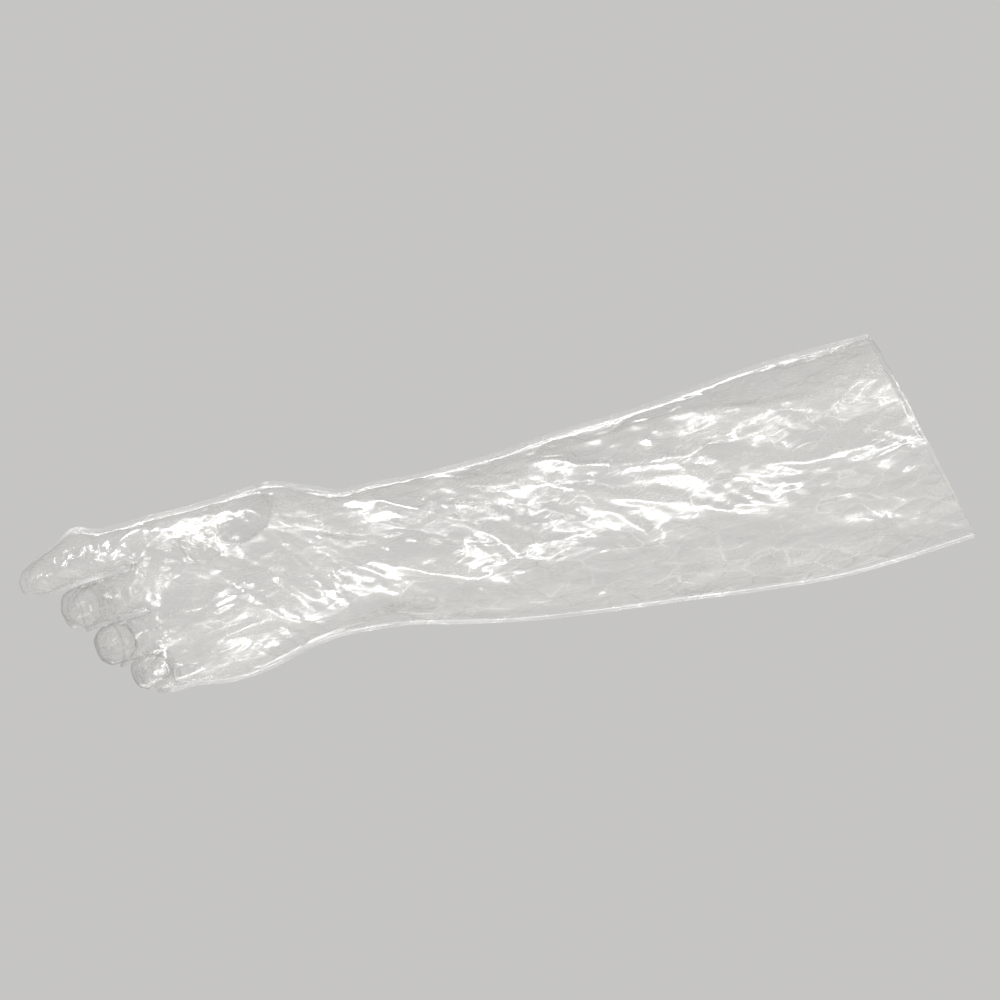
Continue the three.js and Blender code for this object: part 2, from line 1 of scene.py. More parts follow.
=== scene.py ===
# %% [markdown]
# A long polyethylene glove, worn.
# Two sheets of clear film are cut together and melted to each other round the outline. In its worn form
# the film stands in creases, and what the eye reads is mostly light: bright streaks along the folds, a milky
# veil where the film is seen edge on, and a crisp cuff. This lesson builds the film as one thin skin,
# creases it, cuts it into its two sheets along the weld, gives each a wall, and lights it softly.

import math

import bpy
import numpy as np
from mathutils import Matrix, Vector
from mathutils.kdtree import KDTree


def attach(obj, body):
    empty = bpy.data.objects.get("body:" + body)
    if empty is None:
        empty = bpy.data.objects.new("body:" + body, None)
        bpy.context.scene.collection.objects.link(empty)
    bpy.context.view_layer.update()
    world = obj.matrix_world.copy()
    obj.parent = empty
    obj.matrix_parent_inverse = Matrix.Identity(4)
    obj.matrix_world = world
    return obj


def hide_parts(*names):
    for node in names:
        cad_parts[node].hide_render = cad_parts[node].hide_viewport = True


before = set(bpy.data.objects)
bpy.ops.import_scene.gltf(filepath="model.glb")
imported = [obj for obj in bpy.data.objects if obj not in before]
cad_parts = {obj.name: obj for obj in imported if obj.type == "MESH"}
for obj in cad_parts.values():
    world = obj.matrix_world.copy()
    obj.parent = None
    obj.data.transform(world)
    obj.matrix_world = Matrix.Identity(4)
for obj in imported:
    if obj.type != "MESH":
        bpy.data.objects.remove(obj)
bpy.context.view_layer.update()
MM = 0.001

# %% [markdown]
# The camera stands at the photograph's angle.
# It looks straight at the glove's back through a long lens, and is rolled so that the sleeve rises to the
# right. A long lens far away keeps the outline nearly free of perspective. The picture's middle is a point
# of the glove, and the picture's width is a length measured on it.

# %% Camera
PICTURE_MIDDLE = Vector((-220.6, 0, 26.55)) * MM
PICTURE_WIDTH = 520 * MM
CAMERA_DISTANCE = 6.0
CAMERA_ROLL = math.radians(15.6)
SENSOR_MM = 36

camera_data = bpy.data.cameras.new("studio_camera")
camera_data.sensor_width = SENSOR_MM
camera_data.lens = SENSOR_MM * CAMERA_DISTANCE / PICTURE_WIDTH
camera = bpy.data.objects.new("studio_camera", camera_data)
bpy.context.collection.objects.link(camera)
right = Vector((math.cos(CAMERA_ROLL), 0, -math.sin(CAMERA_ROLL)))
up = Vector((math.sin(CAMERA_ROLL), 0, math.cos(CAMERA_ROLL)))
toward = right.cross(up)
turn = Matrix((right, up, toward)).transposed().to_4x4()
camera.matrix_world = Matrix.Translation(PICTURE_MIDDLE + toward * CAMERA_DISTANCE) @ turn
bpy.context.scene.camera = camera
print("camera at", [round(v, 2) for v in camera.location], "lens", round(camera_data.lens), "mm")

# %% [markdown]
# The form comes from short tables.
# Worn film is a tube whose section changes slowly: an oval in the middle, drawn out to a point at each
# weld. Each row of a table gives one section, and a smooth curve runs through the rows, so a few numbers
# give the whole sleeve. They are the same sections that the solid model was made from.

# %% Tables of the form
SLEEVE_LENGTH, SLEEVE_HEIGHT, SLEEVE_DEPTH = 270, 113, 80
CUFF_SLANT, SLANT_FADES_BY = 25.5, 108
HAND_LENGTH, HAND_HEIGHT, HAND_DEPTH, HAND_RISE = 142, 88, 39, 23
GLOVE_LENGTH = SLEEVE_LENGTH + HAND_LENGTH
SLEEVE_ROUND, KNUCKLE_ROUND, FINGER_ROUND = 2, 2.5, 2.2

# along, top, bottom, full top, full bottom, depth: shares of the sleeve's length, height and depth
SLEEVE_SECTIONS = [
    (0.00, 0.500, -0.500, 0.500, -0.288, 1.00),
    (0.22, 0.503, -0.515, 0.503, -0.265, 0.99),
    (0.37, 0.485, -0.477, 0.485, -0.311, 0.97),
    (0.52, 0.458, -0.425, 0.458, -0.284, 0.91),
    (0.67, 0.452, -0.377, 0.440, -0.279, 0.82),
    (0.82, 0.431, -0.320, 0.430, -0.227, 0.71),
    (0.96, 0.436, -0.244, 0.433, -0.209, 0.62),
]
# along, top, bottom, full top, full bottom, depth, curl: shares of the hand's length, height and depth
HAND_SECTIONS = [
    (0.07, 0.322, -0.511, 0.305, -0.487, 1.12, 0.00),
    (0.21, 0.336, -0.478, 0.318, -0.446, 1.07, 0.00),
    (0.35, 0.427, -0.461, 0.395, -0.445, 1.03, 0.00),
    (0.49, 0.487, -0.486, 0.455, -0.480, 1.00, 0.00),
    (0.63, 0.484, -0.535, 0.475, -0.521, 0.93, 0.00),
    (0.77, 0.479, -0.546, 0.478, -0.525, 0.83, 0.02),
    (0.90, 0.487, -0.510, 0.486, -0.500, 0.66, 0.08),
    (1.00, 0.488, -0.500, 0.486, -0.490, 0.50, 0.17),
]


def body_rows():
    """The sleeve's and the hand's tables as one, in millimetres."""
    rows = []
    for along, top, bottom, full_top, full_bottom, depth in SLEEVE_SECTIONS:
        heights = [v * SLEEVE_HEIGHT for v in (top, bottom, full_top, full_bottom)]
        rows.append([along * SLEEVE_LENGTH, *heights, depth * SLEEVE_DEPTH / 2, 0])
    for along, top, bottom, full_top, full_bottom, depth, curl in HAND_SECTIONS:
        heights = [HAND_RISE + v * HAND_HEIGHT for v in (top, bottom, full_top, full_bottom)]
        row = [SLEEVE_LENGTH + along * HAND_LENGTH, *heights, depth * HAND_DEPTH / 2, curl * HAND_DEPTH]
        rows.append(row)
    return np.array(rows)


def read_rows(rows, along):
    """Every column of a table at one place, on a smooth curve through its rows."""
    i = int(np.clip(np.searchsorted(rows[:, 0], along) - 1, 0, len(rows) - 2))
    before, a, b = rows[max(i - 1, 0)], rows[i], rows[i + 1]
    after = rows[min(i + 2, len(rows) - 1)]
    span = b[0] - a[0]
    s = float(np.clip((along - a[0]) / span, 0, 1))
    slope_a = (b - before) / (b[0] - before[0]) * span
    slope_b = (after - a) / (after[0] - a[0]) * span
    s2, s3 = s * s, s ** 3
    level = a * (2 * s3 - 3 * s2 + 1) + b * (3 * s2 - 2 * s3)
    return level + slope_a * (s3 - 2 * s2 + s) + slope_b * (s3 - s2)


BODY_ROWS = body_rows()
print("the tables hold", len(BODY_ROWS), "sections over", GLOVE_LENGTH, "mm")

# %% [markdown]
# One section is a ring of points.
# A ring is the hull of an oval and the two weld points, so the film runs straight from each weld until it
# touches the oval. Its points are spread evenly, the back's half first and then the palm's. A section also
# keeps its own small frame, because the cuff's edge is slanted and the fingers bend.

# %% Rings
HULL_SAMPLES = 90


def smooth(share):
    """An even start and an even stop between 0 and 1."""
    share = np.clip(share, 0, 1)
    return share * share * (3 - 2 * share)


def half_outline(heights, half_depth, roundness, sides):
    """From the upper weld round one side to the lower weld, as (height, depth) pairs."""
    top, bottom, full_top, full_bottom = heights
    angle = np.linspace(0, np.pi, HULL_SAMPLES + 1)
    c, s = np.cos(angle), np.clip(np.sin(angle), 0, 1)
    upright = np.sign(c) * abs(c) ** (2 / roundness)
    oval_height = (full_top + full_bottom) / 2 + (full_top - full_bottom) / 2 * upright
    points = [(top, 0), *zip(oval_height, half_depth * s ** (2 / roundness)), (bottom, 0)]
    hull = []
    for point in points:
        while len(hull) > 1:
            (ax, ay), (bx, by) = hull[-2:]
            if (bx - ax) * (point[1] - ay) - (by - ay) * (point[0] - ax) > 1e-9:
                break
            hull.pop()
        if not hull or math.dist(hull[-1], point) > 1e-6:
            hull.append(point)
    hull = np.array(hull)
    lengths = np.concatenate([[0], np.cumsum(np.hypot(*np.diff(hull, axis=0).T))])
    wanted = np.linspace(0, lengths[-1], sides + 1)
    return np.stack([np.interp(wanted, lengths, hull[:, k]) for k in (0, 1)], axis=1)


def ring_points(section, sides):
    """The section's whole ring, the back's half first."""
    half = half_outline(section["heights"], section["half_depth"], section["roundness"], sides)
    back = half
    palm = (half * (1, -1))[::-1][1:-1]
    flat = np.concatenate([back, palm])
    return section["centre"] + flat[:, :1] * section["sideways"] + flat[:, 1:] * section["outwards"]


def body_section(along):
    """The sleeve's or the hand's section at a distance from the cuff."""
    _, top, bottom, full_top, full_bottom, half_depth, curl = read_rows(BODY_ROWS, along)
    slant = CUFF_SLANT / SLEEVE_HEIGHT * max(0, 1 - along / SLANT_FADES_BY)
    past_wrist = smooth((along - SLEEVE_LENGTH) / HAND_LENGTH)
    return {
        "centre": np.array([-along, curl, 0.0]),
        "sideways": np.array([-slant, 0, 1.0]),
        "outwards": np.array([0, -1.0, 0]),
        "heights": (top, bottom, min(full_top, top), max(full_bottom, bottom)),
        "half_depth": half_depth,
        "roundness": SLEEVE_ROUND + (KNUCKLE_ROUND - SLEEVE_ROUND) * past_wrist,
    }


wrist_ring = ring_points(body_section(SLEEVE_LENGTH), 20)
print("a wrist ring spans", np.round(np.ptp(wrist_ring, axis=0), 1), "mm")

# %% [markdown]
# Fingers and the thumb bend towards the palm.
# Each finger follows a middle line that leaves the palm nearly straight and turns more and more, and it
# closes over the tip in a rounded end. The index finger is widest in a slanted corner on its upper side, and
# the thumb lies folded behind the palm.

# %% Fingers
FINGER_DEPTH, FINGER_ROOT_INSIDE, ROOT_FULLNESS = 20, 0.2, 0.9
OVAL_SHARE, TIP_FULLNESS = 0.97, 0.2
# length in mm, then root, tip and width as shares of the hand's height, then first and last bend in degrees
FINGERS = {
    "index": (75, 0.372, 0.335, 0.228, 11, 64),
    "middle": (78, 0.105, 0.088, 0.245, 28, 93),
    "ring": (74, -0.168, -0.168, 0.24, 36, 110),
    "little": (56, -0.412, -0.34, 0.2, 56, 122),
}
# along the finger, then how far the film reaches up and down, in half widths
INDEX_CORNER = np.array([
    (0.00, 1.00, 1.00),
    (0.22, 1.15, 1.00),
    (0.38, 1.62, 0.95),
    (0.55, 1.20, 0.95),
    (0.80, 0.80, 0.95),
    (1.00, 0.45, 0.80),
])
THUMB_WIDTH, THUMB_DEPTH, THUMB_REACH = 25, 22, 43
THUMB_ROOT_WIDTH, THUMB_ROOT_DEPTH, THUMB_WIDENS_BY, THUMB_DEEPENS = 0.6, 0.62, 0.33, (0.28, 0.62)
# along the hand, up its height, out past the palm
THUMB_LINE = np.array([
    (0.18, 0.08, 0.08),
    (0.32, 0.22, 0.07),
    (0.46, 0.35, 0.01),
    (0.62, 0.34, 0.50),
    (0.82, 0.27, 1.00),
])
BEND_STEP = 0.25
# the arc of a rounded tip over its radius, and how far round it the last ring lies
TIP_ARC, LAST_RING = 1.6, math.radians(87)
LINE_STATIONS = 200


def finger_frame(finger, at):
    """A finger's middle and directions, at a distance past its crotch."""
    length, root, tip, _, bend_from, bend_to = FINGERS[finger]
    rise = HAND_RISE + HAND_HEIGHT * (root + (tip - root) * np.clip(at / length, 0, 1))
    curl = read_rows(BODY_ROWS, GLOVE_LENGTH + min(at, 0))[6]
    x, y, bend = -GLOVE_LENGTH - min(at, 0), curl, 0.0
    steps = max(0, round(at / BEND_STEP))
    if steps:
        share = np.minimum(1, (np.arange(steps) + 0.5) * BEND_STEP / length)
        bends = np.radians(bend_from + (bend_to - bend_from) * share)
        x, y, bend = x - np.cos(bends).sum() * at / steps, y + np.sin(bends).sum() * at / steps, bends[-1]
    return np.array([x, y, rise]), np.array([0, 0, 1.0]), np.array([-math.sin(bend), -math.cos(bend), 0])


def tip_places(length, radius, step):
    """Distances along a straight stretch, then over a rounded tip, with how full the section is."""
    straight = length - radius
    places = [(at, 1.0) for at in np.linspace(0, straight, max(4, round(straight / step)))]
    rounds = max(4, round(radius * TIP_ARC / step))
    angles = np.linspace(0, np.pi / 2, rounds + 1)[1:-1]
    return places + [(straight + radius * math.sin(a), math.cos(a)) for a in [*angles, LAST_RING]]


def finger_sections(finger, step):
    """Sections of a finger, from inside the palm to its tip."""
    length, _, _, width, _, _ = FINGERS[finger]
    half_width = width * HAND_HEIGHT / 2
    inside = FINGER_ROOT_INSIDE * HAND_LENGTH
    places = [(at, 1.0) for at in np.arange(-inside, -step / 2, step)]
    places += tip_places(length, half_width, step)
    sections = []
    for at, full in places:
        share = np.clip(at / length, 0, 1)
        reach = read_rows(INDEX_CORNER, share)[1:] if finger == "index" else (1, 1)
        root = 1 - (1 - ROOT_FULLNESS) * smooth(-at / inside * 2)
        top, bottom = half_width * full * root * reach[0], -half_width * full * root * reach[1]
        centre, sideways, outwards = finger_frame(finger, at)
        sections.append({
            "centre": centre,
            "sideways": sideways,
            "outwards": outwards,
            "heights": (top, bottom, top * OVAL_SHARE, bottom * OVAL_SHARE),
            "half_depth": FINGER_DEPTH / 2 * max(full, TIP_FULLNESS) * root,
            "roundness": FINGER_ROUND,
        })
    return sections


def thumb_sections(step):
    """Sections of the thumb along a smooth line through its table."""
    knots = np.stack([
        -SLEEVE_LENGTH - THUMB_LINE[:, 0] * HAND_LENGTH,
        THUMB_LINE[:, 2] * THUMB_REACH,
        HAND_RISE + THUMB_LINE[:, 1] * HAND_HEIGHT,
    ], axis=1)
    chords = np.concatenate([[0], np.cumsum(np.linalg.norm(np.diff(knots, axis=0), axis=1))])
    fine = np.linspace(0, chords[-1], LINE_STATIONS)
    line = np.array([read_rows(np.column_stack([chords, knots]), f)[1:] for f in fine])
    lengths = np.concatenate([[0], np.cumsum(np.linalg.norm(np.diff(line, axis=0), axis=1))])
    places = tip_places(lengths[-1], THUMB_WIDTH / 2, step)
    stations = [at for at, _ in places]
    points = np.stack([np.interp(stations, lengths, line[:, k]) for k in range(3)], axis=1)
    outwards, sections = np.array([0, -1.0, 0]), []
    for i, (at, full) in enumerate(places):
        ahead = points[min(i + 1, len(points) - 1)] - points[max(i - 1, 0)]
        ahead /= np.linalg.norm(ahead)
        outwards = outwards - ahead * (outwards @ ahead)
        outwards /= np.linalg.norm(outwards)
        sideways = np.cross(outwards, ahead)
        share = at / lengths[-1]
        width = THUMB_ROOT_WIDTH + (1 - THUMB_ROOT_WIDTH) * smooth(share / THUMB_WIDENS_BY)
        early, late = THUMB_DEEPENS
        depth = THUMB_ROOT_DEPTH + (1 - THUMB_ROOT_DEPTH) * smooth((share - early) / (late - early))
        half = THUMB_WIDTH / 2 * full * width
        sections.append({
            "centre": points[i],
            "sideways": sideways * (1 if sideways[2] > 0 else -1),
            "outwards": outwards,
            "heights": (half, -half, half * OVAL_SHARE, -half * OVAL_SHARE),
            "half_depth": THUMB_DEPTH / 2 * max(full, TIP_FULLNESS) * depth,
            "roundness": FINGER_ROUND,
        })
    return sections


print("the index finger bends through", FINGERS["index"][4], "to", FINGERS["index"][5], "degrees")

# %% [markdown]
# The skin is joined from closed tubes.
# Six tubes, the sleeve with its palm, four fingers and a thumb, are joined by a Boolean, which leaves one
# closed skin and no film inside it. Every face carries a material number, 0 for the back, 1 for the palm and
# 2 for the disc that closes the cuff, and the Boolean keeps it. So the weld line is still there afterwards,
# as the border between two numbers.

# %% Join the tubes
BACK, PALM, CUFF_DISC = 0, 1, 2
SKIN_STEP = 1.45
SLEEVE_SIDES = 100
FINGER_SIDES = 26


def new_mesh_object(name, points_mm, faces, labels=None, slots=3):
    """A mesh object at the origin, its points given in millimetres."""
    mesh = bpy.data.meshes.new(name)
    mesh.from_pydata((np.asarray(points_mm) * MM).tolist(), [], faces)
    for i in range(slots):
        mesh.materials.append(bpy.data.materials.get(f"label_{i}") or bpy.data.materials.new(f"label_{i}"))
    if labels is not None:
        mesh.polygons.foreach_set("material_index", labels)
    mesh.update()
    made = bpy.data.objects.new(name, mesh)
    bpy.context.collection.objects.link(made)
    return made


def tube(name, sections, sides, start_label=None):
    """A closed tube through rings, with a fan over each end."""
    rings = [ring_points(section, sides) for section in sections]
    count = len(rings[0])
    points = np.concatenate([*rings, [rings[0].mean(axis=0)], [rings[-1].mean(axis=0)]])
    faces, labels = [], []
    for i in range(len(rings) - 1):
        for j in range(count):
            a, b = i * count + j, i * count + (j + 1) % count
            faces.append((a, a + count, b + count, b))
            labels.append(BACK if j < sides else PALM)
    first, last = len(points) - 2, len(points) - 1
    start = (len(rings) - 1) * count
    for j in range(count):
        side = BACK if j < sides else PALM
        faces.append((first, j, (j + 1) % count))
        labels.append(side if start_label is None else start_label)
        faces.append((last, start + (j + 1) % count, start + j))
        labels.append(side)
    return new_mesh_object(name, points, faces, labels)


def select_only(thing):
    """Selects one object and makes it the active one."""
    bpy.ops.object.select_all(action="DESELECT")
    thing.select_set(True)
    bpy.context.view_layer.objects.active = thing


def face_outwards(thing, merge=None):
    """Merges points that lie this close, if asked, and turns every face of a closed mesh to point out."""
    select_only(thing)
    bpy.ops.object.mode_set(mode="EDIT")
    bpy.ops.mesh.select_all(action="SELECT")
    if merge:
        bpy.ops.mesh.remove_doubles(threshold=merge)
    bpy.ops.mesh.normals_make_consistent(inside=False)
    bpy.ops.object.mode_set(mode="OBJECT")


def combine(thing, other, operation):
    """One Boolean of two closed meshes, applied, and the other mesh removed."""
    select_only(thing)
    step = thing.modifiers.new("combine", "BOOLEAN")
    step.operation, step.solver, step.object = operation, "MANIFOLD", other
    bpy.ops.object.modifier_apply(modifier=step.name)
    bpy.data.objects.remove(other)


body_stations = np.linspace(0, GLOVE_LENGTH, round(GLOVE_LENGTH / SKIN_STEP) + 1)
skin = tube("glove_skin", [body_section(a) for a in body_stations], SLEEVE_SIDES, start_label=CUFF_DISC)
face_outwards(skin)
digit_sections = {name: finger_sections(name, SKIN_STEP) for name in FINGERS}
digit_sections["thumb"] = thumb_sections(SKIN_STEP)
for name, sections in digit_sections.items():
    digit = tube(name, sections, FINGER_SIDES)
    face_outwards(digit)
    combine(skin, digit, "UNION")
print("the joined skin has", len(skin.data.vertices), "points and", len(skin.data.polygons), "faces")

# %% [markdown]
# The joins between the tubes are softened.
# Real film runs from the palm into a finger in one soft curve, while a Boolean leaves a hard line there. A
# vertex group marks a band round each join, and the Smooth modifier works only in that band. The weld line
# stays out of the group, so that the outline keeps its shape.

# %% Soften the joins
JOIN_REACH, JOIN_ROUNDS, JOIN_CLEAR_OF_WELD = 9, 30, 3
JOIN_LEAST, MERGE_WITHIN = 0.02, 0.02
# how far behind the palm the thumb's band starts, and over what depth it grows, in mm
THUMB_SIDE, THUMB_FADE = 4, 4
THUMB_JOIN = (-SLEEVE_LENGTH - 0.42 * HAND_LENGTH, -SLEEVE_LENGTH - 0.05 * HAND_LENGTH)


def rows_of(items, name):
    """One vector of each of a mesh's items, as rows."""
    flat = np.empty(len(items) * 3)
    items.foreach_get(name, flat)
    return flat.reshape(-1, 3)


def points_of(thing):
    """A mesh object's points, in millimetres."""
    return rows_of(thing.data.vertices, "co") / MM


def normals_of(thing):
    """A mesh object's point normals."""
    return rows_of(thing.data.vertex_normals, "vector")


def seam_edges(thing):
    """Edges with one face of the back and one of the palm beside them."""
    mesh = thing.data
    sides = {}
    for face in mesh.polygons:
        for key in face.edge_keys:
            sides.setdefault(key, set()).add(face.material_index)
    return [key for key, found in sides.items() if BACK in found and PALM in found]


def joined_by(edges, points):
    """The points that these edges join."""
    return points[sorted({i for edge in edges for i in edge})]


def far_from(points, others):
    """How far each point is from the nearest of the others."""
    tree = KDTree(len(others))
    for i, other in enumerate(others):
        tree.insert(other, i)
    tree.balance()
    return np.array([tree.find(point)[2] for point in points])


face_outwards(skin, merge=MERGE_WITHIN * MM)
points = points_of(skin)
seam_points = joined_by(seam_edges(skin), points)
from_seam = far_from(points, seam_points)
knuckle_band = 1 - smooth((abs(points[:, 0] + GLOVE_LENGTH) - 1) / JOIN_REACH)
by_thumb = (points[:, 0] > THUMB_JOIN[0]) & (points[:, 0] < THUMB_JOIN[1])
thumb_band = smooth((points[:, 1] - THUMB_SIDE) / THUMB_FADE) * by_thumb
weights = np.maximum(knuckle_band, thumb_band) * smooth(from_seam / JOIN_CLEAR_OF_WELD)
group = skin.vertex_groups.new(name="joins")
for i in np.nonzero(weights > JOIN_LEAST)[0]:
    group.add([int(i)], float(weights[i]), "REPLACE")
soften = skin.modifiers.new("soften", "SMOOTH")
soften.factor, soften.iterations, soften.vertex_group = 0.5, JOIN_ROUNDS, "joins"
bpy.ops.object.modifier_apply(modifier=soften.name)
print("softened", int((weights > JOIN_LEAST).sum()), "points; the weld line has", len(seam_points), "points")

# %% [markdown]
# Main creases are laid on as soft ridges.
# Where loose film is bent it stands up in a narrow ridge with a soft foot on both sides, highest in the
# middle and dying out at its ends. Each main crease is a line of a few points on the glove's back, with a
# height and a width. The film near the weld is held by it, so every crease fades out there.

# %% Main creases
# name, height and width in mm, then its line as (x, z) pairs, in mm
BACK_CREASES = [
    ("knuckle_to_wrist", 2.4, 4.5, [(-360, 63.6), (-325, 38.6), (-304, 26.6), (-278, 13.6)]),
    ("long_wrist_ridge", 2.4, 4.5, [(-326, 33.6), (-306, 21.6), (-261, -1.4), (-212, -21.4)]),
    ("short_beside_it", 1.6, 3.5, [(-311, 20.6), (-282, 0.6), (-267, -10.4)]),
    ("wrist_curve", 2.6, 4.5, [(-301, 48.6), (-272, 36.6), (-253, 26.6), (-226, 7.6), (-212, -19.4)]),
    ("wrist_curve_inner", 1.6, 3.5, [(-271, 37.6), (-246, 30.6), (-227, 21.6), (-215, 8.6)]),
    ("knuckle_valley", -1.8, 4.5, [(-386, 53.6), (-379, 38.6), (-350, 8.6)]),
    ("ring_knuckle", 1.6, 4, [(-384, 10.1), (-365, 12.6), (-338, -5.4), (-328, -11.4)]),
    ("little_knuckle", 1.6, 4, [(-391, -4.4), (-355, -1.4), (-337, -13.9)]),
    ("sleeve_long", 2.6, 5, [(-215, 45.6), (-156, 26.6), (-105, 14.6)]),
    ("sleeve_second", 2.2, 4.5, [(-218, 35.6), (-189, 23.1), (-150, 6.6), (-127, -6.4)]),
    ("sleeve_third", 2, 5, [(-191, 18.1), (-163, 2.6), (-149, -15.4), (-139, -28.4)]),
    ("cuff_long", 2.2, 5, [(-110, -3.4), (-81, -15.4), (-48, -33.4), (-16, -44.4)]),
    ("cuff_second", 1.6, 4, [(-126, -1.4), (-92, -17.4), (-59, -31.4)]),
    ("cuff_steep", 1.6, 4, [(-141, 39.6), (-114, 2.1)]),
    ("cuff_steep_short", 1.4, 4, [(-83, 25.6), (-69, 9.6)]),
    ("index_knuckle", 1.4, 3, [(-398, 67.6), (-439, 45.6)]),
    ("index_knuckle_low", 1.2, 3, [(-402, 52.6), (-422, 25.6)]),
    ("palm_edge_first", 1.8, 3.5, [(-310, -14.4), (-326, 17.6), (-341, 41.1)]),
    ("palm_edge_second", 1.6, 3.5, [(-310, -14.4), (-333, 9.6), (-358, 36.1)]),
    ("palm_edge_third", 1.4, 3, [(-310, -13.4), (-316, 12.6), (-327, 31.6)]),
    ("palm_edge_long", 1.6, 4, [(-330, -18.4), (-367, 24.6), (-389, 41.6)]),
    ("cuff_top", 1.6, 5, [(-190, 42), (-120, 44), (-60, 34), (-20, 36)]),
    ("cuff_top_low", -1.4, 5, [(-170, 33), (-110, 30), (-50, 20), (-8, 22)]),
    ("cuff_middle", 1.3, 5, [(-104, 14), (-60, 4), (-22, 2)]),
    ("wrist_top", 1.6, 4, [(-300, 54), (-262, 45), (-230, 42)]),
    ("sleeve_low", 1.6, 5, [(-250, -26), (-200, -32), (-150, -40), (-90, -46)]),
]
# how wide a ridge's soft foot is in mm, and how quickly it dies out at its ends
CREASE_FOOT, CREASE_TAPER = 0.7, 0.7
# distances in mm over which creases fade: beside the weld, past the knuckles and round to the palm
HELD_BY_WELD, HELD_ON_DIGIT = 7, 3.5
KNUCKLE_FADE, BACK_ENDS, BACK_FADE = 8, 8, 12
# where a face stops counting as the back's or the palm's, as a share of its normal
SIDE_FROM, SIDE_FADE = 0.1, 0.5
# a factor on every height, the height in mm that is fully white, and the white line's width as a share; that
# white is partly stress whitening and partly painted highlight
MAIN_LIFT, FULL_STREAK, STREAK_WIDTH = 1.45, 2.5, 0.5


def along_line(points, line):
    """Each point's distance from a line of straight pieces, and how far along it that is, 0 to 1."""
    line = np.array(line, dtype=float)
    ends = np.concatenate([[0], np.cumsum(np.linalg.norm(np.diff(line, axis=0), axis=1))])
    nearest, share = np.full(len(points), 1e9), np.zeros(len(points))
    for a, b, start, end in zip(line, line[1:], ends, ends[1:]):
        run = b - a
        t = np.clip((points - a) @ run / (run @ run), 0, 1)
        away = np.linalg.norm(points - a - t[:, None] * run, axis=1)
        closer = away < nearest
        nearest = np.where(closer, away, nearest)
        share = np.where(closer, (start + t * (end - start)) / ends[-1], share)
    return nearest, share


def smooth_line(line, pieces=6):
    """A line of few points drawn finer on a smooth curve through them."""
    rows = np.array(line, dtype=float)
    at = np.concatenate([[0], np.cumsum(np.linalg.norm(np.diff(rows, axis=0), axis=1))])
    table = np.column_stack([at, rows])
    return [read_rows(table, a)[1:] for a in np.linspace(0, at[-1], pieces * (len(rows) - 1) + 1)]


def ridge(points, line, width):
    """A ridge's share of its height at each point: sharp on its line, soft at its foot and its ends."""
    away, share = along_line(points, line)
    profile = np.exp(-(np.sqrt(away ** 2 + CREASE_FOOT ** 2) - CREASE_FOOT) / width)
    return profile * np.sin(np.pi * np.clip(share, 0.02, 0.98)) ** CREASE_TAPER


points, normals = points_of(skin), normals_of(skin)
from_seam = far_from(points, joined_by(seam_edges(skin), points))
on_digit = smooth((-GLOVE_LENGTH + KNUCKLE_FADE / 2 - points[:, 0]) / KNUCKLE_FADE)
held = smooth((from_seam - 1) / (HELD_BY_WELD - (HELD_BY_WELD - HELD_ON_DIGIT) * on_digit))
on_back = smooth((-normals[:, 1] + SIDE_FROM) / SIDE_FADE) * smooth((BACK_ENDS - points[:, 1]) / BACK_FADE)
on_palm = smooth((normals[:, 1] + SIDE_FROM) / SIDE_FADE) * (1 - on_digit)
flat_points = points[:, [0, 2]]
lift = np.zeros(len(points))
white_and_highlight = np.zeros(len(points))
crease_lines = {}
for name, height, width, line in BACK_CREASES:
    fine = smooth_line(line)
    crease_lines[name] = fine
    shape = ridge(flat_points, fine, width) * on_back
    lift += MAIN_LIFT * height * shape
    # a white line on the ridge: partly the film's stress whitening, partly a painted highlight
    bright = ridge(flat_points, fine, width * STREAK_WIDTH) * on_back
    white_and_highlight = np.maximum(white_and_highlight, abs(height) / FULL_STREAK * bright)
print(len(BACK_CREASES), "main creases lift the back by up to", round(float(lift.max()), 1), "mm")

# %% [markdown]
# Between them the film is crumpled finely.
# Thin film never lies smooth: it is full of short creases that run roughly with the main ones. Several
# hundred are scattered by a seeded generator, so they fall in the same places every time. Each takes its
# direction from the nearest main crease, turned a little at random, and stands in or out by under 1 mm.
# Wider facets, flat between sharp borders, are laid over them, because film folds and does not stretch.

# %% Fine creases
SEED = 11
FINE_ON_BACK, FINE_ON_PALM, FINE_ON_DIGITS = 420, 340, 170
TURN_SPREAD, DIGIT_TURN = math.radians(17), 0.9
DIGIT_LEAN = np.array([0.5, 1.0])
# least shares of the longest and the tallest, the range of widths in mm, and how much a line is bowed
LEAST_LENGTH, LEAST_HEIGHT, FINE_WIDTHS, BOW_SPREAD = 0.25, 0.3, (0.7, 1.7), 0.06
# how white a fine crease is painted: partly stress whitening, partly painted highlight
FINE_STREAK = 0.8
SHOWN_ON_BODY, SHOWN_ON_DIGIT = 0.6, 0.4
REACH_IN_WIDTHS, LEAST_WEIGHT = 6, 0.01
# lean in degrees, stretch along it, pitch in mm, height in mm, how white a border is painted (partly stress
# whitening, partly painted highlight), seed
FACETS = [
    (-29, 4.2, 17, 1.3, 0.45, 3),
    (-18, 3.2, 9, 0.4, 0.3, 5),
]
FACET_LEVEL, BORDER_WIDTH = 0.45, 1.6
DIGIT_PITCH, DIGIT_CRUMPLE = 8, 1.1
WAVE_SIZES, WAVE_HEIGHT = (34, 45, 60, 90), 0.2
# how white the cuff's cut edge and the finger facets' borders are painted: partly denser film, partly
# painted highlight
CUFF_WHITE_AND_HIGHLIGHT, DIGIT_WHITE_AND_HIGHLIGHT = 0.8, 0.5
CUFF_EDGE, CUFF_FADE = 0.5, 1.5


def lean_at(place):
    """The direction of the nearest main crease, as a unit (x, z) pair."""
    best, lean = 1e9, np.array([1.0, -0.5])
    for line in crease_lines.values():
        for a, b in zip(line, line[1:]):
            away = np.linalg.norm((a + b) / 2 - place)
            if away < best:
                best, lean = away, b - a
    return lean / np.linalg.norm(lean)


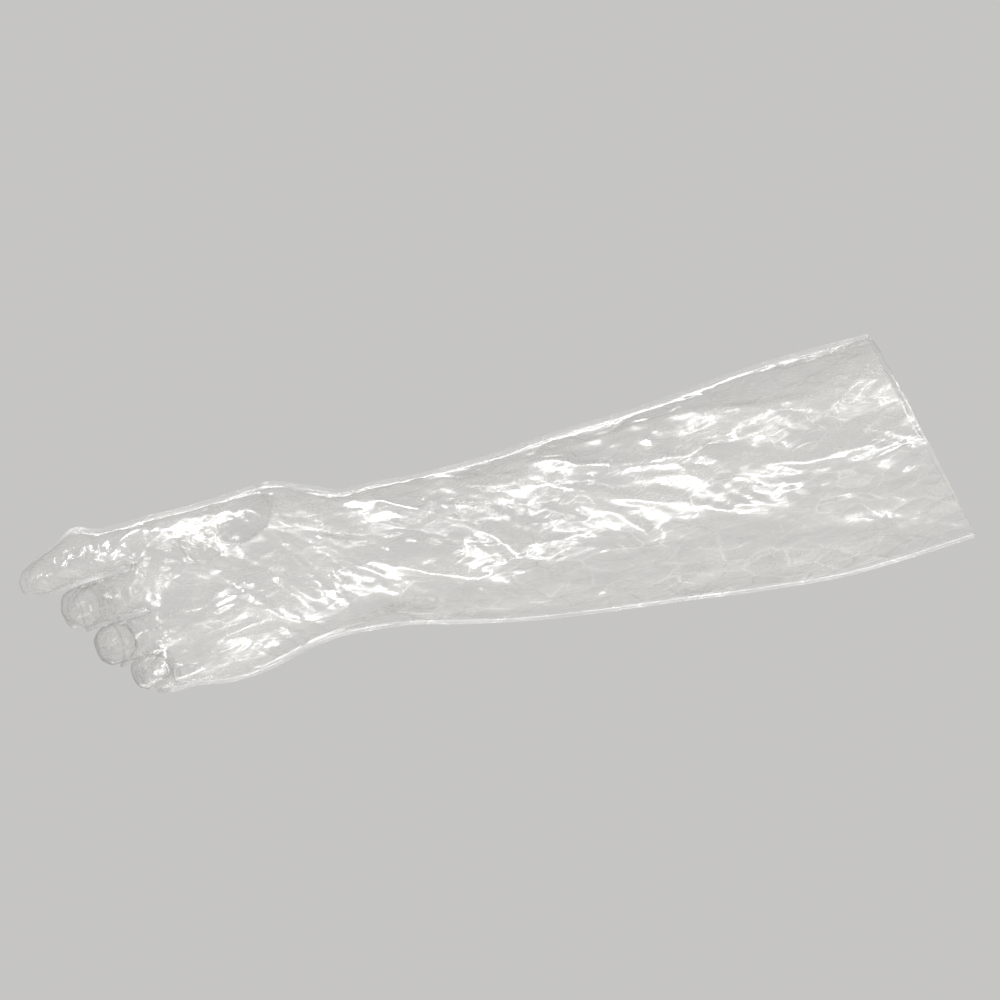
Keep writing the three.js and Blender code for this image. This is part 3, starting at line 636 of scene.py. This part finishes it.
def scatter(random, choices, count, longest, tallest, weight, turn_spread, lean=None):
    """Adds many short creases at random points, and returns their lift and how sharply they catch light."""
    added, caught = np.zeros(len(points)), np.zeros(len(points))
    for _ in range(count):
        place = flat_points[random.choice(choices)]
        direction = lean_at(place) if lean is None else lean
        turn = random.normal(0, turn_spread)
        c, s = math.cos(turn), math.sin(turn)
        direction = np.array([direction[0] * c - direction[1] * s, direction[0] * s + direction[1] * c])
        length = random.uniform(LEAST_LENGTH, 1) * longest
        height = random.uniform(LEAST_HEIGHT, 1) * tallest * random.choice([-1, 1, 1])
        width = random.uniform(*FINE_WIDTHS)
        bow = random.normal(0, BOW_SPREAD) * length
        across = np.array([-direction[1], direction[0]])
        ends = [place - direction * length / 2, place + across * bow, place + direction * length / 2]
        reach = length / 2 + REACH_IN_WIDTHS * width
        near = np.nonzero(np.linalg.norm(flat_points - place, axis=1) < reach)[0]
        near = near[weight[near] > LEAST_WEIGHT]
        shape = ridge(flat_points[near], smooth_line(ends, 3), width) * weight[near]
        added[near] += height * shape
        caught[near] = np.maximum(caught[near], abs(height) * shape ** 2)
    return added, caught


def leaned(flat, lean, stretch):
    """Flat places turned by an angle, shortened along it, and given a third coordinate of 0."""
    c, s = math.cos(lean), math.sin(lean)
    run, across = flat[:, 0] * c + flat[:, 1] * s, flat[:, 1] * c - flat[:, 0] * s
    return np.stack([run / stretch, across, 0 * across], axis=1)


def facets(places, pitch, seed):
    """How far each place is from its facet's middle, in pitches, and 1 on a border between two facets."""
    low, high = places.min(axis=0), places.max(axis=0)
    count = int(np.prod(np.maximum(1, (high - low) / pitch)))
    middles = np.random.default_rng(seed).uniform(low, high, (count, 3))
    tree = KDTree(len(middles))
    for i, middle in enumerate(middles):
        tree.insert(middle, i)
    tree.balance()
    near = middles[[[hit[1] for hit in tree.find_n(place, 3)] for place in places]]
    away = np.sort(abs(near - places[:, None]).sum(axis=2), axis=1)
    return away[:, 0] / pitch, 1 - smooth((away[:, 1] - away[:, 0]) / BORDER_WIDTH)


random = np.random.default_rng(SEED)
on_body = points[:, 0] > -GLOVE_LENGTH
# where they start, how many, the longest and the tallest in mm, where they show, turn and direction
lots = [
    (on_body & (on_back > SHOWN_ON_BODY), FINE_ON_BACK, 78, 0.6, on_back, TURN_SPREAD, None),
    (on_body & (on_palm > SHOWN_ON_BODY), FINE_ON_PALM, 78, 0.7, on_palm, TURN_SPREAD, None),
    (~on_body & (on_back > SHOWN_ON_DIGIT), FINE_ON_DIGITS, 16, 0.5, on_back, DIGIT_TURN, DIGIT_LEAN),
]
# Fine creases and facet borders paint white lines too: partly the film's stress whitening, partly painted
# highlight.
for starts, *lot in lots:
    added, caught = scatter(random, np.nonzero(starts)[0], *lot)
    lift += added
    white_and_highlight = np.maximum(white_and_highlight, caught * FINE_STREAK)
for lean, stretch, pitch, tall, facet_white_and_highlight, seed in FACETS:
    for mask, extra in ((on_back, 0), (on_palm, 50)):
        inside, border = facets(leaned(flat_points, math.radians(lean), stretch), pitch, seed + extra)
        lift += tall * (inside - FACET_LEVEL) * mask * (1 - on_digit)
        white_and_highlight = np.maximum(white_and_highlight, facet_white_and_highlight * border * mask * (1 - on_digit))
digit_points = np.nonzero(on_digit > 0)[0]
inside, border = facets(points[digit_points], DIGIT_PITCH, SEED)
lift[digit_points] += DIGIT_CRUMPLE * (inside - FACET_LEVEL) * on_digit[digit_points]
white_and_highlight[digit_points] = np.maximum(white_and_highlight[digit_points], DIGIT_WHITE_AND_HIGHLIGHT * border * on_digit[digit_points])
for size in WAVE_SIZES:
    phase = flat_points @ random.normal(0, 2 * np.pi / size, 2) + random.uniform(0, 2 * np.pi)
    lift += WAVE_HEIGHT * np.sin(phase) * np.maximum(on_back, on_palm)
shift = lift * held
moved = points + normals * shift[:, None]
skin.data.vertices.foreach_set("co", (moved * MM).ravel())
skin.data.update()
# The cut cuff's edge gets a white line, partly denser film and partly painted highlight, and all white lines
# go to a point attribute.
from_cuff = -(points[:, 0] + CUFF_SLANT / SLEEVE_HEIGHT * points[:, 2])
white_and_highlight = np.maximum(white_and_highlight, CUFF_WHITE_AND_HIGHLIGHT * (1 - smooth((from_cuff - CUFF_EDGE) / CUFF_FADE)))
mark = skin.data.attributes.new("crease", "FLOAT", "POINT")
mark.data.foreach_set("value", np.clip(white_and_highlight * held, 0, 1))
print("the film moves by", round(float(shift.min()), 1), "to", round(float(shift.max()), 1), "mm")

# %% [markdown]
# The skin is cut along the weld into its two sheets.
# The faces' numbers say which sheet each belongs to. The disc over the cuff is deleted, which opens the
# sleeve. The skin's points are shared along the weld, so the two sheets still meet there exactly. Solidify
# then gives each sheet a wall on its inner side.

# %% Two sheets
FILM_WALL = 0.22


def take_faces(thing, name, labels):
    """A copy of the object that keeps only the faces with these numbers."""
    taken = thing.copy()
    taken.data = thing.data.copy()
    taken.name = taken.data.name = name
    bpy.context.collection.objects.link(taken)
    select_only(taken)
    gone = [face.material_index not in labels for face in taken.data.polygons]
    bpy.ops.object.mode_set(mode="EDIT")
    bpy.ops.mesh.select_mode(type="FACE")
    bpy.ops.mesh.select_all(action="DESELECT")
    bpy.ops.object.mode_set(mode="OBJECT")
    taken.data.polygons.foreach_set("select", gone)
    bpy.ops.object.mode_set(mode="EDIT")
    bpy.ops.mesh.delete(type="FACE")
    bpy.ops.object.mode_set(mode="OBJECT")
    return taken


seam_keys = seam_edges(skin)
skin_points, skin_normals = points_of(skin), normals_of(skin)
sheets = [take_faces(skin, "back_film", {BACK}), take_faces(skin, "palm_film", {PALM})]
for film in sheets:
    select_only(film)
    area = sum(face.area for face in film.data.polygons)
    wall = film.modifiers.new("wall", "SOLIDIFY")
    wall.thickness, wall.offset, wall.use_even_offset = FILM_WALL * MM, -1, False
    bpy.ops.object.modifier_apply(modifier=wall.name)
    bpy.ops.object.shade_smooth()
    triangles = sum(len(face.vertices) - 2 for face in film.data.polygons)
    print(film.name, "covers", round(area, 4), "square metres and has", triangles, "triangles")

# %% [markdown]
# The weld is a thin strip round the outline.
# The two sheets are melted together in a narrow band, which is stiffer than the film and catches the light
# as two fine lines. The strip is swept along the weld line itself, pointing away from the film on both
# sides, and is narrower between the fingers, where two welds stand close together.

# %% Weld strip
WELD_WIDTH, WELD_LEAST, WELD_STEP, WELD_TAPER = 2.2, 0.7, 1.4, 6
# how far out, as a share of the width, and half the thickness in mm
WELD_PROFILE = [(-0.25, 0.34), (0.1, 0.26), (0.3, 0.1), (0.55, 0.1), (0.72, 0.2), (0.86, 0.2), (1, 0.06)]
LINE_ROUNDS, OUT_ROUNDS, WIDTH_ROUNDS = 2, 6, 3
LEAST_CHAIN = 12
# how straight in front another weld lies, from how near to how far in mm, and the share of the gap used
IN_FRONT, NEAREST_WELD, FARTHEST_WELD, GAP_SHARE = 0.75, 0.5, 8, 0.45
TAPERED_SHARE = 0.1


def chains(keys):
    """Edges put in order, as lists of point numbers, each with True if it closes on itself."""
    beside = {}
    for a, b in keys:
        beside.setdefault(a, []).append(b)
        beside.setdefault(b, []).append(a)
    left = {tuple(sorted(key)) for key in keys}
    found = []
    for start in sorted(beside, key=lambda i: (len(beside[i]) == 2, i)):
        for second in beside[start]:
            if tuple(sorted((start, second))) not in left:
                continue
            chain = [start, second]
            left.discard(tuple(sorted((start, second))))
            while len(beside[chain[-1]]) == 2 and chain[-1] != start:
                onward = [i for i in beside[chain[-1]] if tuple(sorted((chain[-1], i))) in left]
                if not onward:
                    break
                left.discard(tuple(sorted((chain[-1], onward[0]))))
                chain.append(onward[0])
            closed = chain[-1] == start
            found.append((chain[:-1] if closed else chain, closed))
    return found


def even_out(values, closed, rounds):
    """Each value moved towards its neighbours' mean, several times over."""
    for _ in range(rounds):
        before, after = np.roll(values, 1, axis=0), np.roll(values, -1, axis=0)
        if not closed:
            before[0], after[-1] = values[0], values[-1]
        values = values / 2 + (before + after) / 4
    return values


def unit(vectors):
    """Rows scaled to length 1."""
    return vectors / np.maximum(np.linalg.norm(vectors, axis=1, keepdims=True), 1e-9)


strip_points, strip_faces = [], []
all_seam = joined_by(seam_keys, skin_points)
for chain, closed in chains(seam_keys):
    if len(chain) < LEAST_CHAIN:
        continue
    loop = chain + chain[:1] if closed else chain
    steps = np.linalg.norm(np.diff(skin_points[loop], axis=0), axis=1)
    at = np.concatenate([[0], np.cumsum(steps)])
    stations = np.linspace(0, at[-1], max(8, round(at[-1] / WELD_STEP)) + 1)[: -1 if closed else None]
    line = np.stack([np.interp(stations, at, skin_points[loop, k]) for k in range(3)], axis=1)
    out = np.stack([np.interp(stations, at, skin_normals[loop, k]) for k in range(3)], axis=1)
    line = even_out(line, closed, LINE_ROUNDS)
    out = unit(even_out(out, closed, OUT_ROUNDS))
    ahead = np.roll(line, -1, axis=0) - np.roll(line, 1, axis=0)
    if not closed:
        ahead[0], ahead[-1] = line[1] - line[0], line[-1] - line[-2]
    ahead = unit(ahead)
    out = unit(out - ahead * (out * ahead).sum(axis=1, keepdims=True))
    across = np.cross(ahead, out)
    width = np.full(len(line), float(WELD_WIDTH))
    for i, (point, away) in enumerate(zip(line, out)):
        to_others = all_seam - point
        apart = np.linalg.norm(to_others, axis=1)
        in_front = (to_others @ away > IN_FRONT * apart) & (apart > NEAREST_WELD) & (apart < FARTHEST_WELD)
        if in_front.any():
            width[i] = max(WELD_LEAST, min(width[i], GAP_SHARE * apart[in_front].min()))
    width = np.minimum(width, even_out(width, closed, WIDTH_ROUNDS))
    if not closed:
        for end, run in ((0, stations), (-1, stations[-1] - stations)):
            if line[end, 0] < -SLEEVE_LENGTH:
                width = width * (TAPERED_SHARE + (1 - TAPERED_SHARE) * smooth(run / WELD_TAPER))
    sides = WELD_PROFILE + [(reach, -half) for reach, half in WELD_PROFILE[::-1]]
    base, around = len(strip_points), len(sides)
    for point, away, sideways, wide in zip(line, out, across, width):
        slim = wide / WELD_WIDTH
        strip_points += [point + away * reach * wide + sideways * half * slim for reach, half in sides]
    spans = len(line) if closed else len(line) - 1
    for i in range(spans):
        j = (i + 1) % len(line)
        for k in range(around):
            m = (k + 1) % around
            here, there = base + i * around, base + j * around
            strip_faces.append((here + k, there + k, there + m, here + m))
    if not closed:
        strip_faces.append(tuple(base + k for k in range(around)))
        strip_faces.append(tuple(base + (len(line) - 1) * around + k for k in reversed(range(around))))
    print("a weld of", len(line), "points,", round(float(at[-1])), "mm")
weld = new_mesh_object("weld_strip", strip_points, strip_faces, slots=1)
face_outwards(weld)
select_only(weld)
bpy.ops.object.shade_smooth()
bpy.data.objects.remove(skin)

# %% [markdown]
# Shader sums read better as sums.
# A shader is a graph of nodes, and most of them only add, multiply or mix numbers. A small class wraps one
# output and gives it plus and times, so that a material can be written as a formula, and one function makes
# every other node.

# %% Shader sums


class Field:
    """One output of a node that can be added and multiplied."""

    def __init__(self, tree, socket):
        self.tree, self.socket = tree, socket

    def math(self, operation, *others, clamp=False):
        """A Math node fed by this output and others."""
        node = self.tree.nodes.new("ShaderNodeMath")
        node.operation, node.use_clamp = operation, clamp
        for slot, value in zip(node.inputs, (self, *others)):
            plug(self.tree, slot, value)
        return Field(self.tree, node.outputs[0])

    def __add__(self, other):
        return self.math("ADD", other)

    __radd__ = __add__

    def __mul__(self, other):
        return self.math("MULTIPLY", other)

    __rmul__ = __mul__

    def clamp(self):
        """The same value kept between 0 and 1."""
        return self.math("ADD", 0.0, clamp=True)


def plug(tree, slot, value):
    """Links an output to an input, or sets the input's own value."""
    if isinstance(value, Field):
        tree.links.new(value.socket, slot)
    else:
        slot.default_value = value


def make(tree, kind, output=0, settings=None, **inputs):
    """A node of this kind with its settings and inputs, as a Field of one of its outputs."""
    node = tree.nodes.new(kind)
    for name, value in (settings or {}).items():
        setattr(node, name, value)
    for name, value in inputs.items():
        plug(tree, node.inputs[name.replace("_", " ")], value)
    return Field(tree, node.outputs[output])


def show_mixed(tree, kind, amount, first, second):
    """A Mix Shader between two shaders, led to an output node of this kind."""
    mix = make(tree, "ShaderNodeMixShader")
    for slot, value in zip(mix.socket.node.inputs, (amount, first, second)):
        plug(tree, slot, value)
    plug(tree, tree.nodes.new(kind).inputs["Surface"], mix)


def remap(field, low, high, to_low=0.0, to_high=1.0):
    """The field's range from low to high spread smoothly over another range."""
    settings = {"interpolation_type": "SMOOTHSTEP"}
    return make(field.tree, "ShaderNodeMapRange", 0, settings, Value=field, From_Min=low, From_Max=high,
                To_Min=to_low, To_Max=to_high)


# %% [markdown]
# Clear film is mostly nothing, with a shine.
# Nearly all light goes straight through the film. What is seen is the rest: a hard reflection at the
# surface, a milky veil where the film is stretched, folded or seen edge on, and a fine pressed pattern that
# breaks up the shine. So the shader mixes a transparent one with a glossy white one, and a single number,
# the veil, says how much of the second there is. Crumpled film is made of small flat facets with sharp
# borders, which a cell texture gives: its distance field is the bump, and its borders are the white lines.
# Part of the veil is painted highlight: the white border lines, the whiter facets, broad noise patches and
# the mesh's crease lines stand partly for the film's whitening and partly for highlight bands and streaks.

# %% Film material
FILM_COLOR = (0.86, 0.85, 0.82, 1)
WELD_COLOR = (0.94, 0.935, 0.915, 1)
# turns are in degrees, pitches in mm and heights in mm
EMBOSS_PITCH, EMBOSS_TURN, EMBOSS_HEIGHT = 1.3, 8, 0.012
CRUMPLE_TURN, CRUMPLE_STRETCH, CRUMPLE_PITCH, CRUMPLE_HEIGHT = 29, 4.0, 7.5, 0.36
CRINKLE_SCALE, CRINKLE_HEIGHT, CRINKLE_ROUGHNESS = 260.0, 0.2, (-0.02, 0.04)
WARP_SCALE, WARP = 30.0, 16 * MM
# broad noise patches: they dull the film and thicken the veil as painted highlight bands
PATCH_SCALE, PATCH_TURN, PATCH_STRETCH, PATCH_RANGE = 38.0, 27, (0.35, 1, 1.25), (0.42, 0.62)
# white lines on the facet borders and whiter facets: partly the film's whitening, partly painted highlight
LINE_WIDTH, LINE_WHITE_AND_HIGHLIGHT, LINE_LEAST = 0.045, 0.8, 0.4
FACET_SHADES, FACET_WHITE_AND_HIGHLIGHT = (0.5, 0.95), 0.5
# how much of the veil each cause gives; lines, facets, patches and creases are partly painted highlight
LINE_VEIL, FACET_VEIL, PATCH_VEIL, CREASE_VEIL, EDGE_VEIL = 0.75, 0.8, 0.15, 0.5, 0.5
EDGE_BLEND = 0.35
FILM_SHINE, FILM_IOR, FILM_SPECULAR, PATCH_ROUGHNESS = 0.4, 1.52, 0.9, 0.16


def mapped(place, turn, scale):
    """Object coordinates turned about Y and scaled to a pattern's pitch."""
    return make(place.tree, "ShaderNodeMapping", 0, {"vector_type": "POINT"}, Vector=place,
                Rotation=(0, math.radians(turn), 0), Scale=scale)


def film_material(name, color, least, most, rough, crumple):
    """A clear glossy film, veiled between two amounts, with painted highlight in the veil."""
    material = bpy.data.materials.new(name)
    material.use_nodes = True
    tree = material.node_tree
    tree.nodes.clear()
    place = make(tree, "ShaderNodeTexCoord", "Object")
    warp = make(tree, "ShaderNodeTexNoise", "Color", Vector=place, Scale=WARP_SCALE, Detail=0.0)
    bent = make(tree, "ShaderNodeVectorMath", 0, {"operation": "MULTIPLY_ADD"})
    bent_node = bent.socket.node
    plug(tree, bent_node.inputs[0], warp)
    bent_node.inputs[1].default_value = (WARP,) * 3
    plug(tree, bent_node.inputs[2], place)
    per_metre = 1 / (CRUMPLE_PITCH * MM)
    cells = mapped(bent, CRUMPLE_TURN, (per_metre / CRUMPLE_STRETCH, per_metre, per_metre))
    facet = make(tree, "ShaderNodeTexVoronoi", "Distance", {"feature": "F1", "distance": "MANHATTAN"},
                 Vector=cells, Scale=1.0)
    edge = make(tree, "ShaderNodeTexVoronoi", "Distance", {"feature": "DISTANCE_TO_EDGE"},
                Vector=cells, Scale=1.0)
    shade = make(tree, "ShaderNodeSeparateColor", 0, Color=Field(tree, facet.socket.node.outputs["Color"]))
    # facet borders become white lines and some facets whiter: partly film whitening, partly painted
    # highlight
    lines = remap(edge, 0.0, LINE_WIDTH, LINE_WHITE_AND_HIGHLIGHT, 0.0)
    facet_white_and_highlight = remap(shade, *FACET_SHADES, 0.0, FACET_WHITE_AND_HIGHLIGHT)
    along = mapped(place, PATCH_TURN, PATCH_STRETCH)
    broad = make(tree, "ShaderNodeTexNoise", 0, Vector=along, Scale=PATCH_SCALE, Detail=2.0, Roughness=0.55)
    crinkle = make(tree, "ShaderNodeTexNoise", 0, Vector=place, Scale=CRINKLE_SCALE, Detail=2.0,
                   Roughness=0.6)
    waves = 2 * math.pi / (EMBOSS_PITCH * MM)
    fine = mapped(place, EMBOSS_TURN, (waves, waves, waves))
    parts = make(tree, "ShaderNodeSeparateXYZ", "X", Vector=fine).socket.node
    x, z = Field(tree, parts.outputs["X"]), Field(tree, parts.outputs["Z"])
    pressed = x.math("SINE") * z.math("SINE")
    edge_on = make(tree, "ShaderNodeLayerWeight", "Facing", Blend=EDGE_BLEND)
    # the mesh's white lines and the broad patches add painted highlight to the veil, over the film's haze
    # and its edge-on milkiness
    crease = make(tree, "ShaderNodeAttribute", "Fac", {"attribute_name": "crease"})
    patch = remap(broad, *PATCH_RANGE)
    veil = lines * LINE_VEIL * (patch + LINE_LEAST) + facet_white_and_highlight * patch * FACET_VEIL + patch * PATCH_VEIL
    veil = veil + crease * CREASE_VEIL + edge_on.math("POWER", 2.0) * EDGE_VEIL
    amount = (least + (most - least) * veil.clamp()).clamp()
    relief = facet * (CRUMPLE_HEIGHT * crumple) + crinkle * (CRINKLE_HEIGHT * crumple)
    relief = relief + pressed * EMBOSS_HEIGHT
    bump = make(tree, "ShaderNodeBump", 0, Strength=1.0, Distance=1.0 * MM, Height=relief)
    shine = make(tree, "ShaderNodeBsdfPrincipled")
    shine_node = shine.socket.node
    dulled = rough + patch * PATCH_ROUGHNESS + remap(crinkle, 0.3, 0.7, *CRINKLE_ROUGHNESS)
    for slot, value in (("Base Color", color), ("Roughness", dulled), ("IOR", FILM_IOR),
                        ("Specular IOR Level", FILM_SPECULAR), ("Metallic", FILM_SHINE), ("Normal", bump)):
        plug(tree, shine_node.inputs[slot], value)
    clear = make(tree, "ShaderNodeBsdfTransparent")
    show_mixed(tree, "ShaderNodeOutputMaterial", amount, clear, shine)
    return material


film_look = film_material("clear_film", FILM_COLOR, least=0.03, most=0.46, rough=0.115, crumple=1.0)
weld_look = film_material("melted_film", WELD_COLOR, least=0.12, most=0.42, rough=0.2, crumple=0.5)
for thing, look in ((sheets[0], film_look), (sheets[1], film_look), (weld, weld_look)):
    thing.data.materials.clear()
    thing.data.materials.append(look)
    thing.data.polygons.foreach_set("material_index", [0] * len(thing.data.polygons))
    thing.data.update()
print("materials:", film_look.name, "and", weld_look.name)

# %% [markdown]
# A pale studio with one strong side.
# Film shows only what it reflects, so the light is what draws it. A large soft box stands upper left in
# front, a long low one to the right, and the surroundings are a dim warm grey a little darker than the
# highlights, so that the white streaks stand out from it.

# %% Floor, surroundings and lights
FLOOR_Z = -0.42
FLOOR_RADIUS, FLOOR_ROUGHNESS = 2.2, 0.9
SURROUNDINGS = (0.78, 0.775, 0.76, 1)
BACKDROP_STRENGTH, FILL_STRENGTH = 0.72, 0.32
AIM = (-0.22, 0, 0.02)
# name, place in metres, width and height in metres, power in watts
SOFT_BOXES = [
    ("key_light", (-0.75, -0.95, 0.95), 0.5, 0.28, 9.5),
    ("side_light", (0.65, -0.75, 0.25), 0.1, 0.6, 4),
    ("low_light", (-0.25, -0.62, -0.36), 0.75, 0.12, 3.2),
    ("left_light", (-1.4, -0.5, 0.15), 0.08, 0.4, 2.5),
    ("back_light", (-0.3, 1.1, 0.7), 0.6, 0.3, 4),
]

paper = bpy.data.materials.new("floor_paper")
paper.use_nodes = True
dull = paper.node_tree.nodes["Principled BSDF"]
dull.inputs["Base Color"].default_value = SURROUNDINGS
dull.inputs["Roughness"].default_value = FLOOR_ROUGHNESS
bpy.ops.object.select_all(action="DESELECT")
bpy.ops.mesh.primitive_circle_add(vertices=96, radius=FLOOR_RADIUS, fill_type="NGON",
                                  location=(PICTURE_MIDDLE.x, 0, FLOOR_Z))
floor = bpy.context.object
floor.name = "studio_floor"
floor.data.materials.append(paper)

world = bpy.data.worlds.new("studio_world")
bpy.context.scene.world = world
world.use_nodes = True
world_tree = world.node_tree
world_tree.nodes.clear()
seen = make(world_tree, "ShaderNodeLightPath", "Is Camera Ray")
plain = make(world_tree, "ShaderNodeBackground", 0, Color=SURROUNDINGS, Strength=BACKDROP_STRENGTH)
dim = make(world_tree, "ShaderNodeBackground", 0, Color=SURROUNDINGS, Strength=FILL_STRENGTH)
show_mixed(world_tree, "ShaderNodeOutputWorld", seen, dim, plain)
for name, place, width, height, power in SOFT_BOXES:
    lamp = bpy.data.lights.new(name, "AREA")
    lamp.shape, lamp.size, lamp.size_y, lamp.energy = "RECTANGLE", width, height, power
    thing = bpy.data.objects.new(name, lamp)
    bpy.context.collection.objects.link(thing)
    thing.location = place
    thing.rotation_euler = (Vector(AIM) - Vector(place)).to_track_quat("-Z", "Y").to_euler()
bpy.context.scene.view_settings.view_transform = "Standard"
cycles = bpy.context.scene.cycles
cycles.transparent_max_bounces = 24
cycles.max_bounces, cycles.diffuse_bounces, cycles.glossy_bounces = 3, 1, 2

# %% [markdown]
# Everything is tied to the part.
# Each piece rides on the part's one body, and the solid that it stands for is hidden.

for piece, node, slot in ((sheets[0], "back_sheet", "film"), (sheets[1], "palm_sheet", "film"),
                          (weld, "edge_weld", "weld")):
    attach(piece, "root")
    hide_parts(node)
bpy.ops.object.select_all(action="DESELECT")
